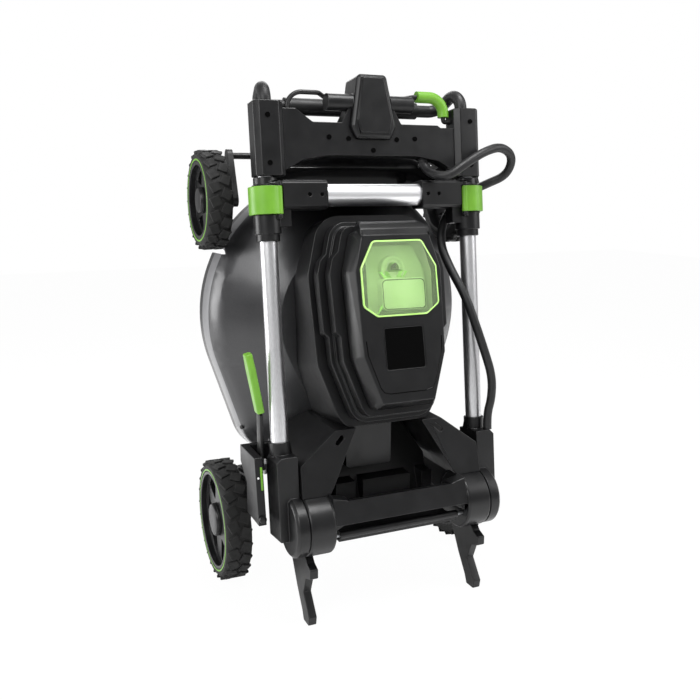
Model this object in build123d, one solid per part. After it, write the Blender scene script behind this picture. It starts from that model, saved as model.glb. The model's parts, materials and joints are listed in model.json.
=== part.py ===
from build123d import *
from math import cos, pi, radians, sin, tan
import os

# Push mower with a folding, telescoping handle, standing on its tail for storage.
# Pieces are drawn in the mowing frame: x to the right, y forward from the rear axle, z up from
# the ground. The last step stands the whole machine on its rear wheels and storage feet.

# Running gear
FRONT_AXLE_BACK = 48.0
REAR_WHEEL_D = 229.0
FRONT_WHEEL_D = 178.0
WHEEL_OUTER_X = 274.0
REAR_TYRE_WIDTH = 48.0
FRONT_TYRE_WIDTH = 44.0
REAR_RIM_D = 186.0
FRONT_RIM_D = 138.0
RIM_WALL = 6.0
RIM_SPOKES = 6
SPOKE_SHARE = 0.72
HUB_SHARE = 0.34
TREAD_BLOCKS = 22
TREAD_DEPTH = 4.0
TREAD_GAP = 7.0
TREAD_TURN = 30.0
AXLE_D = 12.0
CRANK_LENGTH = 85.0
CRANK_REST_ANGLE = 20.0
CRANK_ARM_WIDTH = 24.0
CRANK_ARM_INNER_X = 200.0
CRANK_ARM_THICK = 10.0
RUNNING_CLEARANCE = 0.05
MOVING_GAP = 0.5

# Cutting deck
DECK_RADIUS = 266.0
DECK_TAIL = 17.0
DECK_REAR_Y = 102.0
DECK_REAR_HALF_WIDTH = 212.0
DECK_CORNER_RADIUS = 90.0
DECK_CORNER_EASE = 36.0
DECK_WALL = 3.0
SKIRT_BOTTOM_Z = 40.0
SKIRT_TOP_Z = 86.0
SKIRT_DRAFT = 4.0
BAND_TOP_Z = 112.0
BAND_INSET = 18.0
CROWN_Z = 152.0
CROWN_INSET = 64.0
DECK_TOP_Z = 190.0
DECK_TOP_INSET = 112.0
WHEEL_ARCH_GAP = 9.0
WHEEL_ARCH_X = 226.0
LUG_X = 142.0
LUG_WIDTH = 18.0
LUG_RADIUS = 14.0

# Front hood
HOOD_OVERLAP = 59.0
HOOD_LENGTH = 102.0
HOOD_HALF_WIDTH = 168.0
HOOD_BOTTOM_Z = 84.0
HOOD_REAR_Z = 212.0
HOOD_FRONT_Z = 150.0
HOOD_WALL = 4.0
HOOD_SHOULDER_SHARE = 0.7
HOOD_NOSE_SHARE = 0.35

# Battery lid frame, tilted towards the rear
LID_FORWARD = 24.0
LID_Z = 351.0
LID_TILT = -11.9
LID_TOP_P = 150.0
LID_BOTTOM_P = -150.0
LID_TOP_HALF = 70.0
LID_SHOULDER_P = 82.0
LID_SHOULDER_HALF = 89.0
LID_WAIST_P = -62.0
LID_WAIST_HALF = 85.0
LID_BOTTOM_HALF = 56.0
LID_CORNER_R = 10.0
LID_HEIGHT = 18.0
LID_SKIRT = 21.0
LID_DRAFT = 10.0
LID_WALL = 4.0
LID_GAP = 0.4
WINDOW_TOP_P = 131.0
WINDOW_TOP_HALF = 46.0
WINDOW_SHOULDER_P = 86.0
WINDOW_SHOULDER_HALF = 71.0
WINDOW_WAIST_P = 22.0
WINDOW_BOTTOM_P = 4.0
WINDOW_BOTTOM_HALF = 46.0
WINDOW_PROUD = 1.5
WINDOW_FLANGE = 2.0
PLATE_HALF = 37.0
PLATE_TOP_P = -14.0
PLATE_BOTTOM_P = -86.0
PLATE_DEPTH = 1.2
FINGER_HALF = 38.0
FINGER_DEPTH = 9.0
LID_PIN_D = 6.0
LID_PIN_RISE = 12.0
LID_KNUCKLE_HALF = 44.0
LID_EAR_WIDTH = 10.0
BROW_HALF = 64.0
BROW_ROUND = 20.0
BROW_PROFILE = ((138.0, 17.9), (151.0, 14.5), (160.5, 6.0), (166.0, -4.0), (167.8, -13.0))

# Bay and motor housing, stacked below the lid as wider and wider layers
BAY_TOP_Q = -22.0
FLANGE_STEP = 8.0
FLANGE_STEP_REAR_P = -23.0
FLANGE_STEP_FRONT_P = 121.0
FLANGE_STEP_REAR_HALF = 86.0
FLANGE_STEP_FRONT_HALF = 78.0
BAY_FLANGE_GROW = 20.0
BAY_FLANGE_BOTTOM_Q = -44.0
BAY_TUB_GROW = 4.0
BAY_TUB_BOTTOM_Q = -118.0
BAY_WALL = 5.0
HOUSING_FLANGE_GROW = 31.0
HOUSING_FLANGE_TOP_Q = -49.0
HOUSING_FLANGE_BOTTOM_Q = -70.0
HOUSING_NECK_GROW = 15.0
HOUSING_BASE_GROW = 39.0
HOUSING_BASE_TOP_Q = -75.0
HOUSING_WALL = 8.0
HOUSING_REAR_Y = 216.0
BATTERY_TOP_Q = -16.0
BATTERY_GAP = 3.0
BATTERY_BOSS_D = 46.0
BATTERY_BOSS_P = 84.0
BATTERY_BOSS_HEIGHT = 12.0
BATTERY_STEP_HALF = 42.0
BATTERY_STEP_X = 16.0
BATTERY_STEP_TOP_P = 68.0
BATTERY_STEP_BOTTOM_P = 14.0
BATTERY_STEP_HEIGHT = 15.0

# Motor and blade
SHAFT_D = 17.0
BOSS_D = 56.0
BOSS_BOTTOM_Z = 150.0
STATOR_D = 88.0
STATOR_HEIGHT = 17.0
ROTOR_D = 108.0
ROTOR_WALL = 5.0
BLADE_TIP_GAP = 16.0
BLADE_WIDTH = 56.0
BLADE_THICK = 4.0
BLADE_Z = 54.0
BLADE_WING_LENGTH = 90.0
BLADE_WING_TILT = 35.0
ADAPTER_D = 74.0
ADAPTER_HEIGHT = 14.0
BOLT_HEAD = 24.0
BOLT_HEAD_HEIGHT = 8.0

# Rear frame, pivots and feet
PIVOT_Y = 60.0
PIVOT_Z = 337.0
PIVOT_PIN_D = 20.0
DRUM_D = 106.0
DRUM_INNER_X = 128.0
DRUM_OUTER_X = 175.5
BAR_FRONT_Y = 106.0
BAR_REAR_Y = 68.0
BAR_FRONT_Z = 373.0
BAR_REAR_Z = 384.0
BAR_THICK = 24.0
BAR_FLARE = 30.0
BAR_FLARE_RISE = 16.0
CHEEK_REAR_Y = 106.0
CHEEK_WALL = 40.0
CHEEK_SKIN = 5.0
CHEEK_EASE = 2.0
CHEEK_SLOT_X = 97.0
CHEEK_SLOT_Y = 199.0
CHEEK_SLOT_TURN = -42.0
CHEEK_SLOT_LENGTH = 20.0
CHEEK_SLOT_WIDTH = 8.0
CHEEK_FRONT_X = 64.0
CHEEK_BOTTOM_Z = 160.0
CHEEK_FRONT_Z = 322.0
CHEEK_REAR_Z = 352.0
FOOT_INNER_X = 158.0
FOOT_ROOT = 8.0
FOOT_ROOT_Z = 264.0
FOOT_NECK_Z = 344.0
FOOT_WAIST_Y = 52.0
FOOT_WAIST_FRONT_Z = 340.0
FOOT_WAIST_REAR_Z = 308.0
FOOT_ROUND = 3.0
FOOT_HOOK = 16.0
FOOT_HOOK_LEAN = 6.0
FOOT_TOE_Y = 16.0
FOOT_TOE_BACK = 7.0
FOOT_THICK = 15.0
FOOT_TIP_Z = 352.0
FOOT_TIP_HALF = 12.0
FOOT_HOOK_Z = 375.0

# Rear discharge
CHUTE_REAR_Y = 36.0
CHUTE_FRONT_Y = 214.0
CHUTE_FRONT_HALF = 60.0
CHUTE_REAR_HALF = 114.0
CHUTE_FLARE_Y = 124.0
CHUTE_FLOOR_Z = 126.0
CHUTE_FRONT_Z = 206.0
CHUTE_REAR_Z = 276.0
CHUTE_WALL = 4.0
COVER_LEFT_X = -70.0
COVER_RIGHT_X = 20.0
COVER_REAR_Y = 132.0
COVER_Z = 290.0
STEP_Z = 280.0
STEP_REAR_Y = 57.0
STEP_FRONT_Y = 101.0
STEP_SPANS = ((-86.0, -46.0), (-32.0, 66.0), (90.0, 112.0))
FLAP_ROD_Y = 44.0
FLAP_ROD_Z = 366.0
FLAP_ROD_D = 7.0
FLAP_HALF = 116.0
FLAP_THICK = 4.0
FLAP_BOTTOM_Z = 122.0

# Height lever
LEVER_X = -220.0
LEVER_ROD_D = 10.0
LEVER_KNEE = (104.0, 226.0)
LEVER_BEND = (152.0, 262.0)
GRIP_FOOT = (-223.0, 250.0, 272.0)
GRIP_TIP = (-243.0, 354.0, 275.0)
GRIP_SOCKET = 18.0
GRIP_THICK = 13.0
GRIP_WIDTH = 22.0
GRIP_SWELL = 25.0
GRIP_SWELL_AT = 0.75
GRIP_END_WIDTH = 18.0
GRIP_ROUND = 4.0
LEVER_STRIP = 6.0
QUADRANT_X = -229.0
QUADRANT_THICK = 14.0
QUADRANT_BOTTOM_Z = 214.0
QUADRANT_FRONT_Y = 178.0
QUADRANT_REAR_Y = 63.0
QUADRANT_ARM = 30.0
QUADRANT_WAIST_Y = 118.0
QUADRANT_WAIST_Z = 250.0
QUADRANT_FRONT_TOP_Z = 300.0
QUADRANT_REAR_TOP_Z = 318.0
QUADRANT_WEB = 12.0

# Handle, drawn in its own frame: x right, v along the tubes from the pivot, w towards the top
HANDLE_LEAN = -6.57
TUBE_X = 194.5
TUBE_W = -30.5
LOWER_TUBE_D = 30.0
LOWER_TUBE_WALL = 1.9
UPPER_TUBE_D = 25.6
UPPER_TUBE_WALL = 1.6
LOWER_TUBE_START = 60.0
LOWER_TUBE_SHY = 1.0
UPPER_TUBE_START = 190.0
BRACKET_OUTER_X = 214.0
BRACKET_TOP = 122.0
BRACKET_HALF_DEPTH = 22.0
BRACKET_FRONT_W = 8.0
BRACKET_CHAMFER = 8.0
COLLAR_D = 37.0
COLLAR_TOP = 144.0
HUB_D = 104.0
HUB_OUTER_X = 198.0
HUB_CHAMFER = 5.0
CLAMP_DROP = 76.0
CLAMP_RISE = 29.0
CLAMP_D = 46.0
CLAMP_EAR = 8.0
LEVER_DROP = 32.0
LEVER_RISE = 14.0
LEVER_THICK = 6.0
LEVER_START_ANGLE = 52.0
LEVER_END_ANGLE = 205.0
LEVER_PIN_D = 5.0
LEVER_RELIEF_D = 15.0
CROSSBAR_AHEAD = 17.0
CROSSBAR_D = 38.0
CROSSBAR_WALL = 1.6
CROSSBAR_HALF = 128.0
SOCKET_HEIGHT = 48.0
SOCKET_DEPTH = 45.0
SOCKET_CHAMFER = 5.0
SOCKET_END_X = 91.0
SOCKET_SCREWS_X = (102.0, 124.0)
SCREW_HOLE_D = 7.0
SCREW_HOLE_DEPTH = 2.5
CLAMP_NECK_D = 40.0
CLAMP_NECK = 12.0
CLAMP_LEG_X = 156.0
CLAMP_LEG_DROP = 52.0
CLAMP_LEG_DEPTH = 26.0

# Console at the top of the handle, measured along the tubes from the crossbar
COLUMN_GAP = 2.0
COLUMN_TOP = 152.0
COLUMN_INNER_X = 163.0
COLUMN_OUTER_X = 214.0
COLUMN_FRONT_W = -6.0
COLUMN_BACK_W = -52.0
COLUMN_CHAMFER = 9.0
WEB_FRONT_W = -15.0
WEB_BACK_W = -44.0
WEB_TOP = 146.0
WEB_SIDE_BOTTOM = 40.0
WEB_MID_BOTTOM = 66.0
WEB_BAIL_V = 117.0
WEB_CUT_BOTTOM = 121.0
WEB_CUT_SLOPE = 14.0
WEB_KNEE_X = 130.0
WEB_KNEE_DROP = 8.0
WEB_MID_X = 82.0
WING_TOP = 142.0
WING_FOOT = 110.0
WING_IN_X = 139.0
WING_END_X = 110.0
WING_THICK = 6.0
SWITCH_TOP = 202.0
SWITCH_BOTTOM = 94.0
SWITCH_TOP_HALF = 27.0
SWITCH_BOTTOM_HALF = 43.0
SWITCH_FRONT_W = -4.0
SWITCH_BACK_W = -58.0
SWITCH_ROUND = 8.0
SWITCH_TAPER = 20.0
SWITCH_TAPER_IN = 10.0
SWITCH_CHAMFER = 5.0
PANEL_PROUD = 3.0
PANEL_TOP = 195.0
PANEL_TOP_HALF = 19.0
PANEL_WAIST = 124.0
PANEL_WAIST_HALF = 32.0
PANEL_BOTTOM = 104.0
PANEL_BOTTOM_HALF = 26.0
BARREL_D = 29.0
BARREL_END_X = 82.0
BARREL_V = 156.0
BARREL_W = -24.0
GRIP_TUBE_D = 22.0
GRIP_SLEEVE_D = 30.0
GRIP_BAR_V = 162.0
GRIP_BAR_W = -100.0
GRIP_RISE_V = 194.0
GRIP_SIDE_X = 188.0
GRIP_BAR_HALF = 178.0
GRIP_BEND_R = 24.0
GRIP_SLEEVE_HALF = 130.0
BAIL_PIVOT_V = 130.0
BAIL_PIVOT_W = -30.0
BAIL_D = 8.0
BAIL_SIDE_X = 150.0
BAIL_TOP_V = 172.0
BAIL_BACK_W = -72.0
BAIL_JOG_OUT = 92.0
BAIL_JOG_IN = 60.0
BAIL_BEND_R = 12.0
BAIL_CORNER_R = 28.0
BAIL_END = 14.0
BAIL_END_R = 4.0
BAIL_SLEEVE_D = 20.0
BAIL_SLEEVE_START = 96.0
BUTTON_D = 24.0
BUTTON_V = 152.0
BUTTON_PROUD = 6.0
BUTTON_DEPTH = 14.0
BUTTON_CHAMFER = 1.5

# Power cable, looped from the console to the right lower bracket
CABLE_D = 16.0
BOOT_D = 22.0
BOOT_LENGTH = 22.0
CABLE_ROUTE = (
    (106.0, 632.0, -32.0),
    (106.0, 608.0, -32.0),
    (110.0, 590.0, 4.0),
    (128.0, 587.0, 22.0),
    (156.0, 606.0, 26.0),
    (200.0, 630.0, 24.0),
    (244.0, 642.0, 14.0),
    (278.0, 626.0, 2.0),
    (276.0, 594.0, -16.0),
    (246.0, 580.0, -44.0),
    (208.0, 562.0, -70.0),
    (172.0, 522.0, -76.0),
    (152.0, 474.0, -62.0),
    (156.0, 424.0, -32.0),
    (168.0, 374.0, -2.0),
    (180.0, 322.0, 10.0),
    (198.0, 270.0, 10.0),
    (214.0, 222.0, 8.0),
    (214.0, 180.0, 4.0),
    (206.0, 150.0, -1.0),
    (206.0, 122.0, -1.0),
)


# Places shared by several pieces
DECK_CENTRE_Y = DECK_REAR_Y + DECK_TAIL + DECK_RADIUS
DECK_FRONT_Y = DECK_CENTRE_Y + DECK_RADIUS
WHEELBASE = DECK_FRONT_Y - FRONT_AXLE_BACK
HOOD_REAR_Y = DECK_FRONT_Y - HOOD_OVERLAP
HOOD_FRONT_Y = HOOD_REAR_Y + HOOD_LENGTH
LID_Y = DECK_CENTRE_Y + LID_FORWARD
BLADE_LENGTH = 2 * (DECK_RADIUS - BLADE_TIP_GAP)
CROSSBAR_V = WHEELBASE + CROSSBAR_AHEAD - PIVOT_Y
CLAMP_BOTTOM, CLAMP_TOP = CROSSBAR_V - CLAMP_DROP, CROSSBAR_V + CLAMP_RISE
LEVER_BOTTOM, LEVER_TOP = CROSSBAR_V - LEVER_DROP, CROSSBAR_V + LEVER_RISE
COLUMN_BOTTOM = CLAMP_RISE + COLUMN_GAP
REAR_AXLE_Z = REAR_WHEEL_D / 2
FRONT_AXLE_Z = FRONT_WHEEL_D / 2
CRANK_DY = CRANK_LENGTH * cos(radians(CRANK_REST_ANGLE))
CRANK_DZ = CRANK_LENGTH * sin(radians(CRANK_REST_ANGLE))
REAR_SHAFT = (CRANK_DY, REAR_AXLE_Z - CRANK_DZ)
FRONT_SHAFT = (WHEELBASE + CRANK_DY, FRONT_AXLE_Z - CRANK_DZ)
BRACKET_INNER_X = DRUM_OUTER_X + MOVING_GAP
HANDLE = Location((0, PIVOT_Y, PIVOT_Z), (HANDLE_LEAN, 0, 0))
CONSOLE = HANDLE * Pos(0, CROSSBAR_V, 0)
LID = Location((0, LID_Y, LID_Z), (LID_TILT, 0, 0))


# Small drawing helpers
def rod_x(diameter, x0, x1, y, z):
    return Pos((x0 + x1) / 2, y, z) * Rot(0, 90, 0) * Cylinder(diameter / 2, abs(x1 - x0))


def rod_z(diameter, z0, z1, x, y):
    return Pos(x, y, (z0 + z1) / 2) * Cylinder(diameter / 2, z1 - z0)


def rod_v(diameter, v0, v1, x, w):
    return Pos(x, (v0 + v1) / 2, w) * Rot(90, 0, 0) * Cylinder(diameter / 2, v1 - v0)


def block(x0, x1, y0, y1, z0, z1):
    return Pos((x0 + x1) / 2, (y0 + y1) / 2, (z0 + z1) / 2) * Box(x1 - x0, y1 - y0, z1 - z0)


def side_plate(sketch, x0, x1):
    plane = Plane((x0, 0, 0), x_dir=(0, 1, 0), z_dir=(1, 0, 0))
    return extrude(plane * sketch, x1 - x0, dir=(1, 0, 0))


def flat_plate(sketch, z0, z1):
    return extrude(Pos(0, 0, z0) * sketch, z1 - z0, dir=(0, 0, 1))


def rounded(points, radius):
    sketch = Polygon(*points, align=None)
    return fillet(sketch.vertices(), radius) if radius else sketch


def symmetric(points):
    return list(points) + [(-x, y) for x, y in reversed(points)]


def hull_of(*circles):
    edges = [edge for x, y, r in circles for edge in (Pos(x, y) * Circle(r)).edges()]
    return make_hull(edges)


def on_left(shape):
    return mirror(shape, about=Plane.YZ)


def tube(diameter, wall, v0, v1, x, w):
    return rod_v(diameter, v0, v1, x, w) - rod_v(diameter - 2 * wall, v0 - 1, v1 + 1, x, w)


# Deck
def deck_outline(inset):
    fade = 2 * (DECK_TOP_INSET + DECK_WALL) + DECK_CORNER_EASE
    corner = DECK_CORNER_RADIUS * (1 - inset / (fade - inset))
    x = DECK_REAR_HALF_WIDTH - inset - corner
    y = DECK_REAR_Y + inset + corner
    return hull_of((0, DECK_CENTRE_Y, DECK_RADIUS - inset), (x, y, corner), (-x, y, corner))


def deck_volume(wall):
    levels = [(0, SKIRT_BOTTOM_Z), (SKIRT_DRAFT, SKIRT_TOP_Z), (BAND_INSET, BAND_TOP_Z - wall),
              (CROWN_INSET, CROWN_Z - wall), (DECK_TOP_INSET, DECK_TOP_Z - wall)]
    return loft([Pos(0, 0, z) * deck_outline(inset + wall) for inset, z in levels], ruled=True)


def wheel_arch(y, z, diameter):
    reach = diameter / 2 + WHEEL_ARCH_GAP
    travel = 2 * CRANK_DZ
    sketch = hull_of((y, z, reach), (y, z - travel, reach))
    return side_plate(sketch, WHEEL_ARCH_X, DECK_RADIUS + WHEEL_ARCH_GAP)


def axle_lug(shaft, y_root, z_root):
    y, z = shaft
    sketch = hull_of((y, z, LUG_RADIUS), (y_root, z_root, LUG_RADIUS))
    return side_plate(sketch, LUG_X, LUG_X + LUG_WIDTH)


def shaft_bore(shaft):
    return rod_x(AXLE_D + 2 * RUNNING_CLEARANCE, -DECK_RADIUS, DECK_RADIUS, *shaft)


def chute_volume(inset):
    half = CHUTE_REAR_HALF - inset
    plan = Polygon(*symmetric([(CHUTE_FRONT_HALF - inset, CHUTE_FRONT_Y), (half, CHUTE_FLARE_Y),
                               (half, CHUTE_REAR_Y)]), align=None)
    side = Polygon((CHUTE_REAR_Y, CHUTE_FLOOR_Z + inset), (CHUTE_FRONT_Y, CHUTE_FLOOR_Z + inset),
                   (CHUTE_FRONT_Y, CHUTE_FRONT_Z - inset), (CHUTE_REAR_Y, CHUTE_REAR_Z - inset),
                   align=None)
    tall = flat_plate(plan, CHUTE_FLOOR_Z, CHUTE_REAR_Z)
    return tall & side_plate(side, -half, half)


def make_deck_shell(outer):
    lug = axle_lug(REAR_SHAFT, REAR_SHAFT[0] + 3 * LUG_RADIUS, REAR_SHAFT[1] + LUG_RADIUS)
    shell = outer + lug + on_left(lug) - deck_volume(DECK_WALL)
    shell -= rod_z(BOSS_D, BOSS_BOTTOM_Z, DECK_TOP_Z + 1, 0, DECK_CENTRE_Y)
    shell -= chute_volume(0)
    arch = wheel_arch(WHEELBASE, FRONT_AXLE_Z, FRONT_WHEEL_D)
    shell -= [arch, on_left(arch), shaft_bore(REAR_SHAFT)]
    return shell.solids().sort_by(SortBy.VOLUME)[-1]


def hood_volume(inset):
    half = HOOD_HALF_WIDTH - inset
    front = HOOD_FRONT_Y - inset
    depth = HOOD_FRONT_Y - HOOD_REAR_Y
    plan = rounded(symmetric([(half, HOOD_REAR_Y + inset), (half, front - depth / 2),
                              (half * HOOD_SHOULDER_SHARE, front - depth / 8),
                              (half * HOOD_NOSE_SHARE, front)]), depth / 10)
    side = Polygon((HOOD_REAR_Y, 0), (HOOD_REAR_Y, HOOD_REAR_Z - inset),
                   (HOOD_FRONT_Y - depth / 3, HOOD_REAR_Z - depth / 5 - inset),
                   (HOOD_FRONT_Y, HOOD_FRONT_Z - inset), (HOOD_FRONT_Y, 0), align=None)
    return flat_plate(plan, HOOD_BOTTOM_Z, HOOD_REAR_Z) & side_plate(side, -half, half)


def make_front_hood(outer):
    lug = axle_lug(FRONT_SHAFT, FRONT_SHAFT[0] - LUG_RADIUS, HOOD_BOTTOM_Z + LUG_RADIUS)
    hood = hood_volume(0) - hood_volume(HOOD_WALL) + lug + on_left(lug)
    hood -= [outer, shaft_bore(FRONT_SHAFT)]
    return hood.solids().sort_by(SortBy.VOLUME)[-1]


def make_chute(cheek):
    inside = chute_volume(CHUTE_WALL)
    cover = block(COVER_LEFT_X, COVER_RIGHT_X, COVER_REAR_Y, CHUTE_FRONT_Y, CHUTE_FRONT_Z, COVER_Z)
    chute = chute_volume(0) + chamfer(cover.edges().filter_by(Axis.Z), CHUTE_WALL)
    for left, right in STEP_SPANS:
        chute += block(left, right, STEP_REAR_Y, STEP_FRONT_Y, CHUTE_FRONT_Z, STEP_Z)
    chute -= [inside, deck_volume(DECK_WALL), cheek, on_left(cheek)]
    return chute.solids().sort_by(SortBy.VOLUME)[-1]


# Battery lid, bay and motor housing
def lid_outline(grow):
    points = symmetric([(LID_TOP_HALF, LID_TOP_P), (LID_SHOULDER_HALF, LID_SHOULDER_P),
                        (LID_WAIST_HALF, LID_WAIST_P), (LID_BOTTOM_HALF, LID_BOTTOM_P)])
    sketch = rounded(points, LID_CORNER_R)
    return offset(sketch, amount=grow) if grow else sketch


def lid_layer(grow, q0, q1):
    return flat_plate(lid_outline(grow), q0, q1)


def flange_layer(grow, q0, q1):
    narrow = grow - FLANGE_STEP
    reach = 3 * FLANGE_STEP
    rear, front = FLANGE_STEP_REAR_HALF + narrow, FLANGE_STEP_FRONT_HALF + narrow
    middle = symmetric([(front, FLANGE_STEP_FRONT_P), (front + reach, FLANGE_STEP_FRONT_P - reach),
                        (rear + reach, FLANGE_STEP_REAR_P + reach), (rear, FLANGE_STEP_REAR_P)])
    tabs = lid_layer(grow, q0, q1) & flat_plate(Polygon(*middle, align=None), q0, q1)
    return lid_layer(narrow, q0, q1) + tabs


def lid_cup(inset):
    skirt = lid_layer(-inset, -LID_SKIRT, 0)
    crown = loft([lid_outline(-inset), Pos(0, 0, LID_HEIGHT - inset) * lid_outline(-inset - LID_DRAFT)])
    return skirt + crown


def window_outline(grow):
    points = symmetric([(WINDOW_TOP_HALF, WINDOW_TOP_P), (WINDOW_SHOULDER_HALF, WINDOW_SHOULDER_P),
                        (WINDOW_SHOULDER_HALF, WINDOW_WAIST_P), (WINDOW_BOTTOM_HALF, WINDOW_BOTTOM_P)])
    sketch = rounded(points, LID_CORNER_R)
    return offset(sketch, amount=grow) if grow else sketch


LID_PIN_P = LID_TOP_P + LID_PIN_RISE
LID_PIN_Q = BAY_TOP_Q + LID_PIN_D + LID_GAP


def make_lid():
    lid = lid_cup(0) - lid_cup(LID_WALL)
    lid -= flat_plate(window_outline(0), 0, LID_HEIGHT + 1)
    plate = rounded([(-PLATE_HALF, PLATE_BOTTOM_P), (PLATE_HALF, PLATE_BOTTOM_P),
                     (PLATE_HALF, PLATE_TOP_P), (-PLATE_HALF, PLATE_TOP_P)], LID_CORNER_R / 2)
    lid -= flat_plate(plate, LID_HEIGHT - PLATE_DEPTH, LID_HEIGHT + 1)
    finger = block(-FINGER_HALF, FINGER_HALF, LID_BOTTOM_P - 1, LID_BOTTOM_P + FINGER_DEPTH,
                   -LID_SKIRT - 1, -LID_SKIRT + FINGER_DEPTH)
    lid -= finger
    knuckle = rod_x(2 * LID_PIN_D, -LID_KNUCKLE_HALF, LID_KNUCKLE_HALF, LID_PIN_P, LID_PIN_Q)
    strap = block(-LID_KNUCKLE_HALF, LID_KNUCKLE_HALF, LID_TOP_P - 1, LID_PIN_P,
                  LID_PIN_Q - LID_PIN_D / 2, LID_PIN_Q + LID_PIN_D)
    nose = BROW_PROFILE[-1][0]
    plan = rounded(symmetric([(BROW_HALF, nose), (BROW_HALF, LID_SHOULDER_P)]), BROW_ROUND)
    profile = Polygon(*BROW_PROFILE, (LID_PIN_P, LID_PIN_Q), (LID_TOP_P - 1, LID_PIN_Q), align=None)
    brow = side_plate(profile, -BROW_HALF, BROW_HALF) & flat_plate(plan, LID_PIN_Q, LID_HEIGHT)
    brow -= lid_cup(LID_WALL)
    ear_end = LID_KNUCKLE_HALF + 2 * LID_GAP + LID_EAR_WIDTH
    ear_room = rod_x(3 * LID_PIN_D + 2 * LID_GAP, LID_KNUCKLE_HALF, ear_end, LID_PIN_P, LID_PIN_Q)
    bore = rod_x(LID_PIN_D + 2 * RUNNING_CLEARANCE, -LID_TOP_HALF, LID_TOP_HALF, LID_PIN_P, LID_PIN_Q)
    return LID * (lid + knuckle + strap + brow - [ear_room, on_left(ear_room)] - bore)


def make_window():
    pane = flat_plate(window_outline(0), LID_HEIGHT - LID_WALL, LID_HEIGHT + WINDOW_PROUD)
    flange = flat_plate(window_outline(WINDOW_FLANGE), LID_HEIGHT - LID_WALL - WINDOW_PROUD,
                        LID_HEIGHT - LID_WALL)
    return LID * (pane + flange)


def make_bay():
    bay = flange_layer(BAY_FLANGE_GROW, BAY_FLANGE_BOTTOM_Q, BAY_TOP_Q)
    bay += lid_layer(BAY_TUB_GROW, BAY_TUB_BOTTOM_Q, BAY_FLANGE_BOTTOM_Q)
    bay -= lid_layer(BAY_TUB_GROW - BAY_WALL, BAY_TUB_BOTTOM_Q + BAY_WALL, BAY_TOP_Q + 1)
    ear_inner = LID_KNUCKLE_HALF + LID_GAP
    ear = rod_x(2 * LID_PIN_D, ear_inner, ear_inner + LID_EAR_WIDTH, LID_PIN_P, LID_PIN_Q)
    ear += block(ear_inner, ear_inner + LID_EAR_WIDTH, LID_PIN_P - LID_PIN_D, LID_PIN_P + LID_PIN_D,
                 BAY_TOP_Q - 1, LID_PIN_Q)
    clear = rod_x(2 * LID_PIN_D + 2 * LID_GAP, -LID_KNUCKLE_HALF - LID_GAP, LID_KNUCKLE_HALF + LID_GAP,
                  LID_PIN_P, LID_PIN_Q)
    pin = rod_x(LID_PIN_D, -LID_TOP_HALF, LID_TOP_HALF, LID_PIN_P, LID_PIN_Q)
    return LID * (bay + ear + on_left(ear) - clear - pin)


def make_battery():
    floor = BAY_TUB_BOTTOM_Q + BAY_WALL
    inset = BAY_TUB_GROW - BAY_WALL - BATTERY_GAP
    body = lid_layer(inset, floor, BATTERY_TOP_Q - 2 * BAY_WALL)
    top = flat_plate(offset(window_outline(0), amount=-2 * BATTERY_GAP), BATTERY_TOP_Q - 2 * BAY_WALL,
                     BATTERY_TOP_Q)
    left, right = BATTERY_STEP_X - BATTERY_STEP_HALF, BATTERY_STEP_X + BATTERY_STEP_HALF
    step = block(left, right, BATTERY_STEP_BOTTOM_P, BATTERY_STEP_TOP_P, BATTERY_TOP_Q - BAY_WALL,
                 BATTERY_TOP_Q + BATTERY_STEP_HEIGHT)
    step = fillet(step.edges().filter_by(Axis.Z), 2 * BAY_WALL)
    boss = Pos(0, BATTERY_BOSS_P, BATTERY_TOP_Q) * Cylinder(BATTERY_BOSS_D / 2, 2 * BATTERY_BOSS_HEIGHT)
    return LID * (body + top + boss + step)


def make_motor_housing(outer):
    deep = 2 * BAY_TUB_BOTTOM_Q
    housing = lid_layer(HOUSING_BASE_GROW, deep, HOUSING_BASE_TOP_Q)
    housing += lid_layer(HOUSING_NECK_GROW, HOUSING_BASE_TOP_Q, BAY_FLANGE_BOTTOM_Q)
    housing += flange_layer(HOUSING_FLANGE_GROW, HOUSING_FLANGE_BOTTOM_Q, HOUSING_FLANGE_TOP_Q)
    housing -= lid_layer(BAY_TUB_GROW, BAY_TUB_BOTTOM_Q, BAY_FLANGE_BOTTOM_Q)
    housing -= lid_layer(HOUSING_BASE_GROW - HOUSING_WALL, deep, BAY_TUB_BOTTOM_Q - HOUSING_WALL)
    housing = LID * housing
    housing -= [outer, block(-DECK_RADIUS, DECK_RADIUS, -DECK_RADIUS, HOUSING_REAR_Y, 0, LID_Z),
                block(-DECK_RADIUS, DECK_RADIUS, 0, 2 * DECK_RADIUS + DECK_REAR_Y, 0, DECK_TOP_Z)]
    return housing.solids().sort_by(SortBy.VOLUME)[-1]


# Motor and blade
def make_stator():
    y = DECK_CENTRE_Y
    stator = rod_z(STATOR_D, DECK_TOP_Z, DECK_TOP_Z + STATOR_HEIGHT, 0, y)
    stator += rod_z(BOSS_D, BOSS_BOTTOM_Z, DECK_TOP_Z, 0, y)
    return stator - rod_z(SHAFT_D + 2 * RUNNING_CLEARANCE, 0, LID_Z, 0, y)


def make_rotor():
    y = DECK_CENTRE_Y
    top = DECK_TOP_Z + STATOR_HEIGHT + MOVING_GAP
    bell = rod_z(ROTOR_D, DECK_TOP_Z + ROTOR_WALL, top + ROTOR_WALL, 0, y)
    bell -= rod_z(ROTOR_D - 2 * ROTOR_WALL, 0, top, 0, y)
    return bell + rod_z(SHAFT_D, BLADE_Z + BLADE_THICK + ADAPTER_HEIGHT, top + ROTOR_WALL, 0, y)


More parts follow.
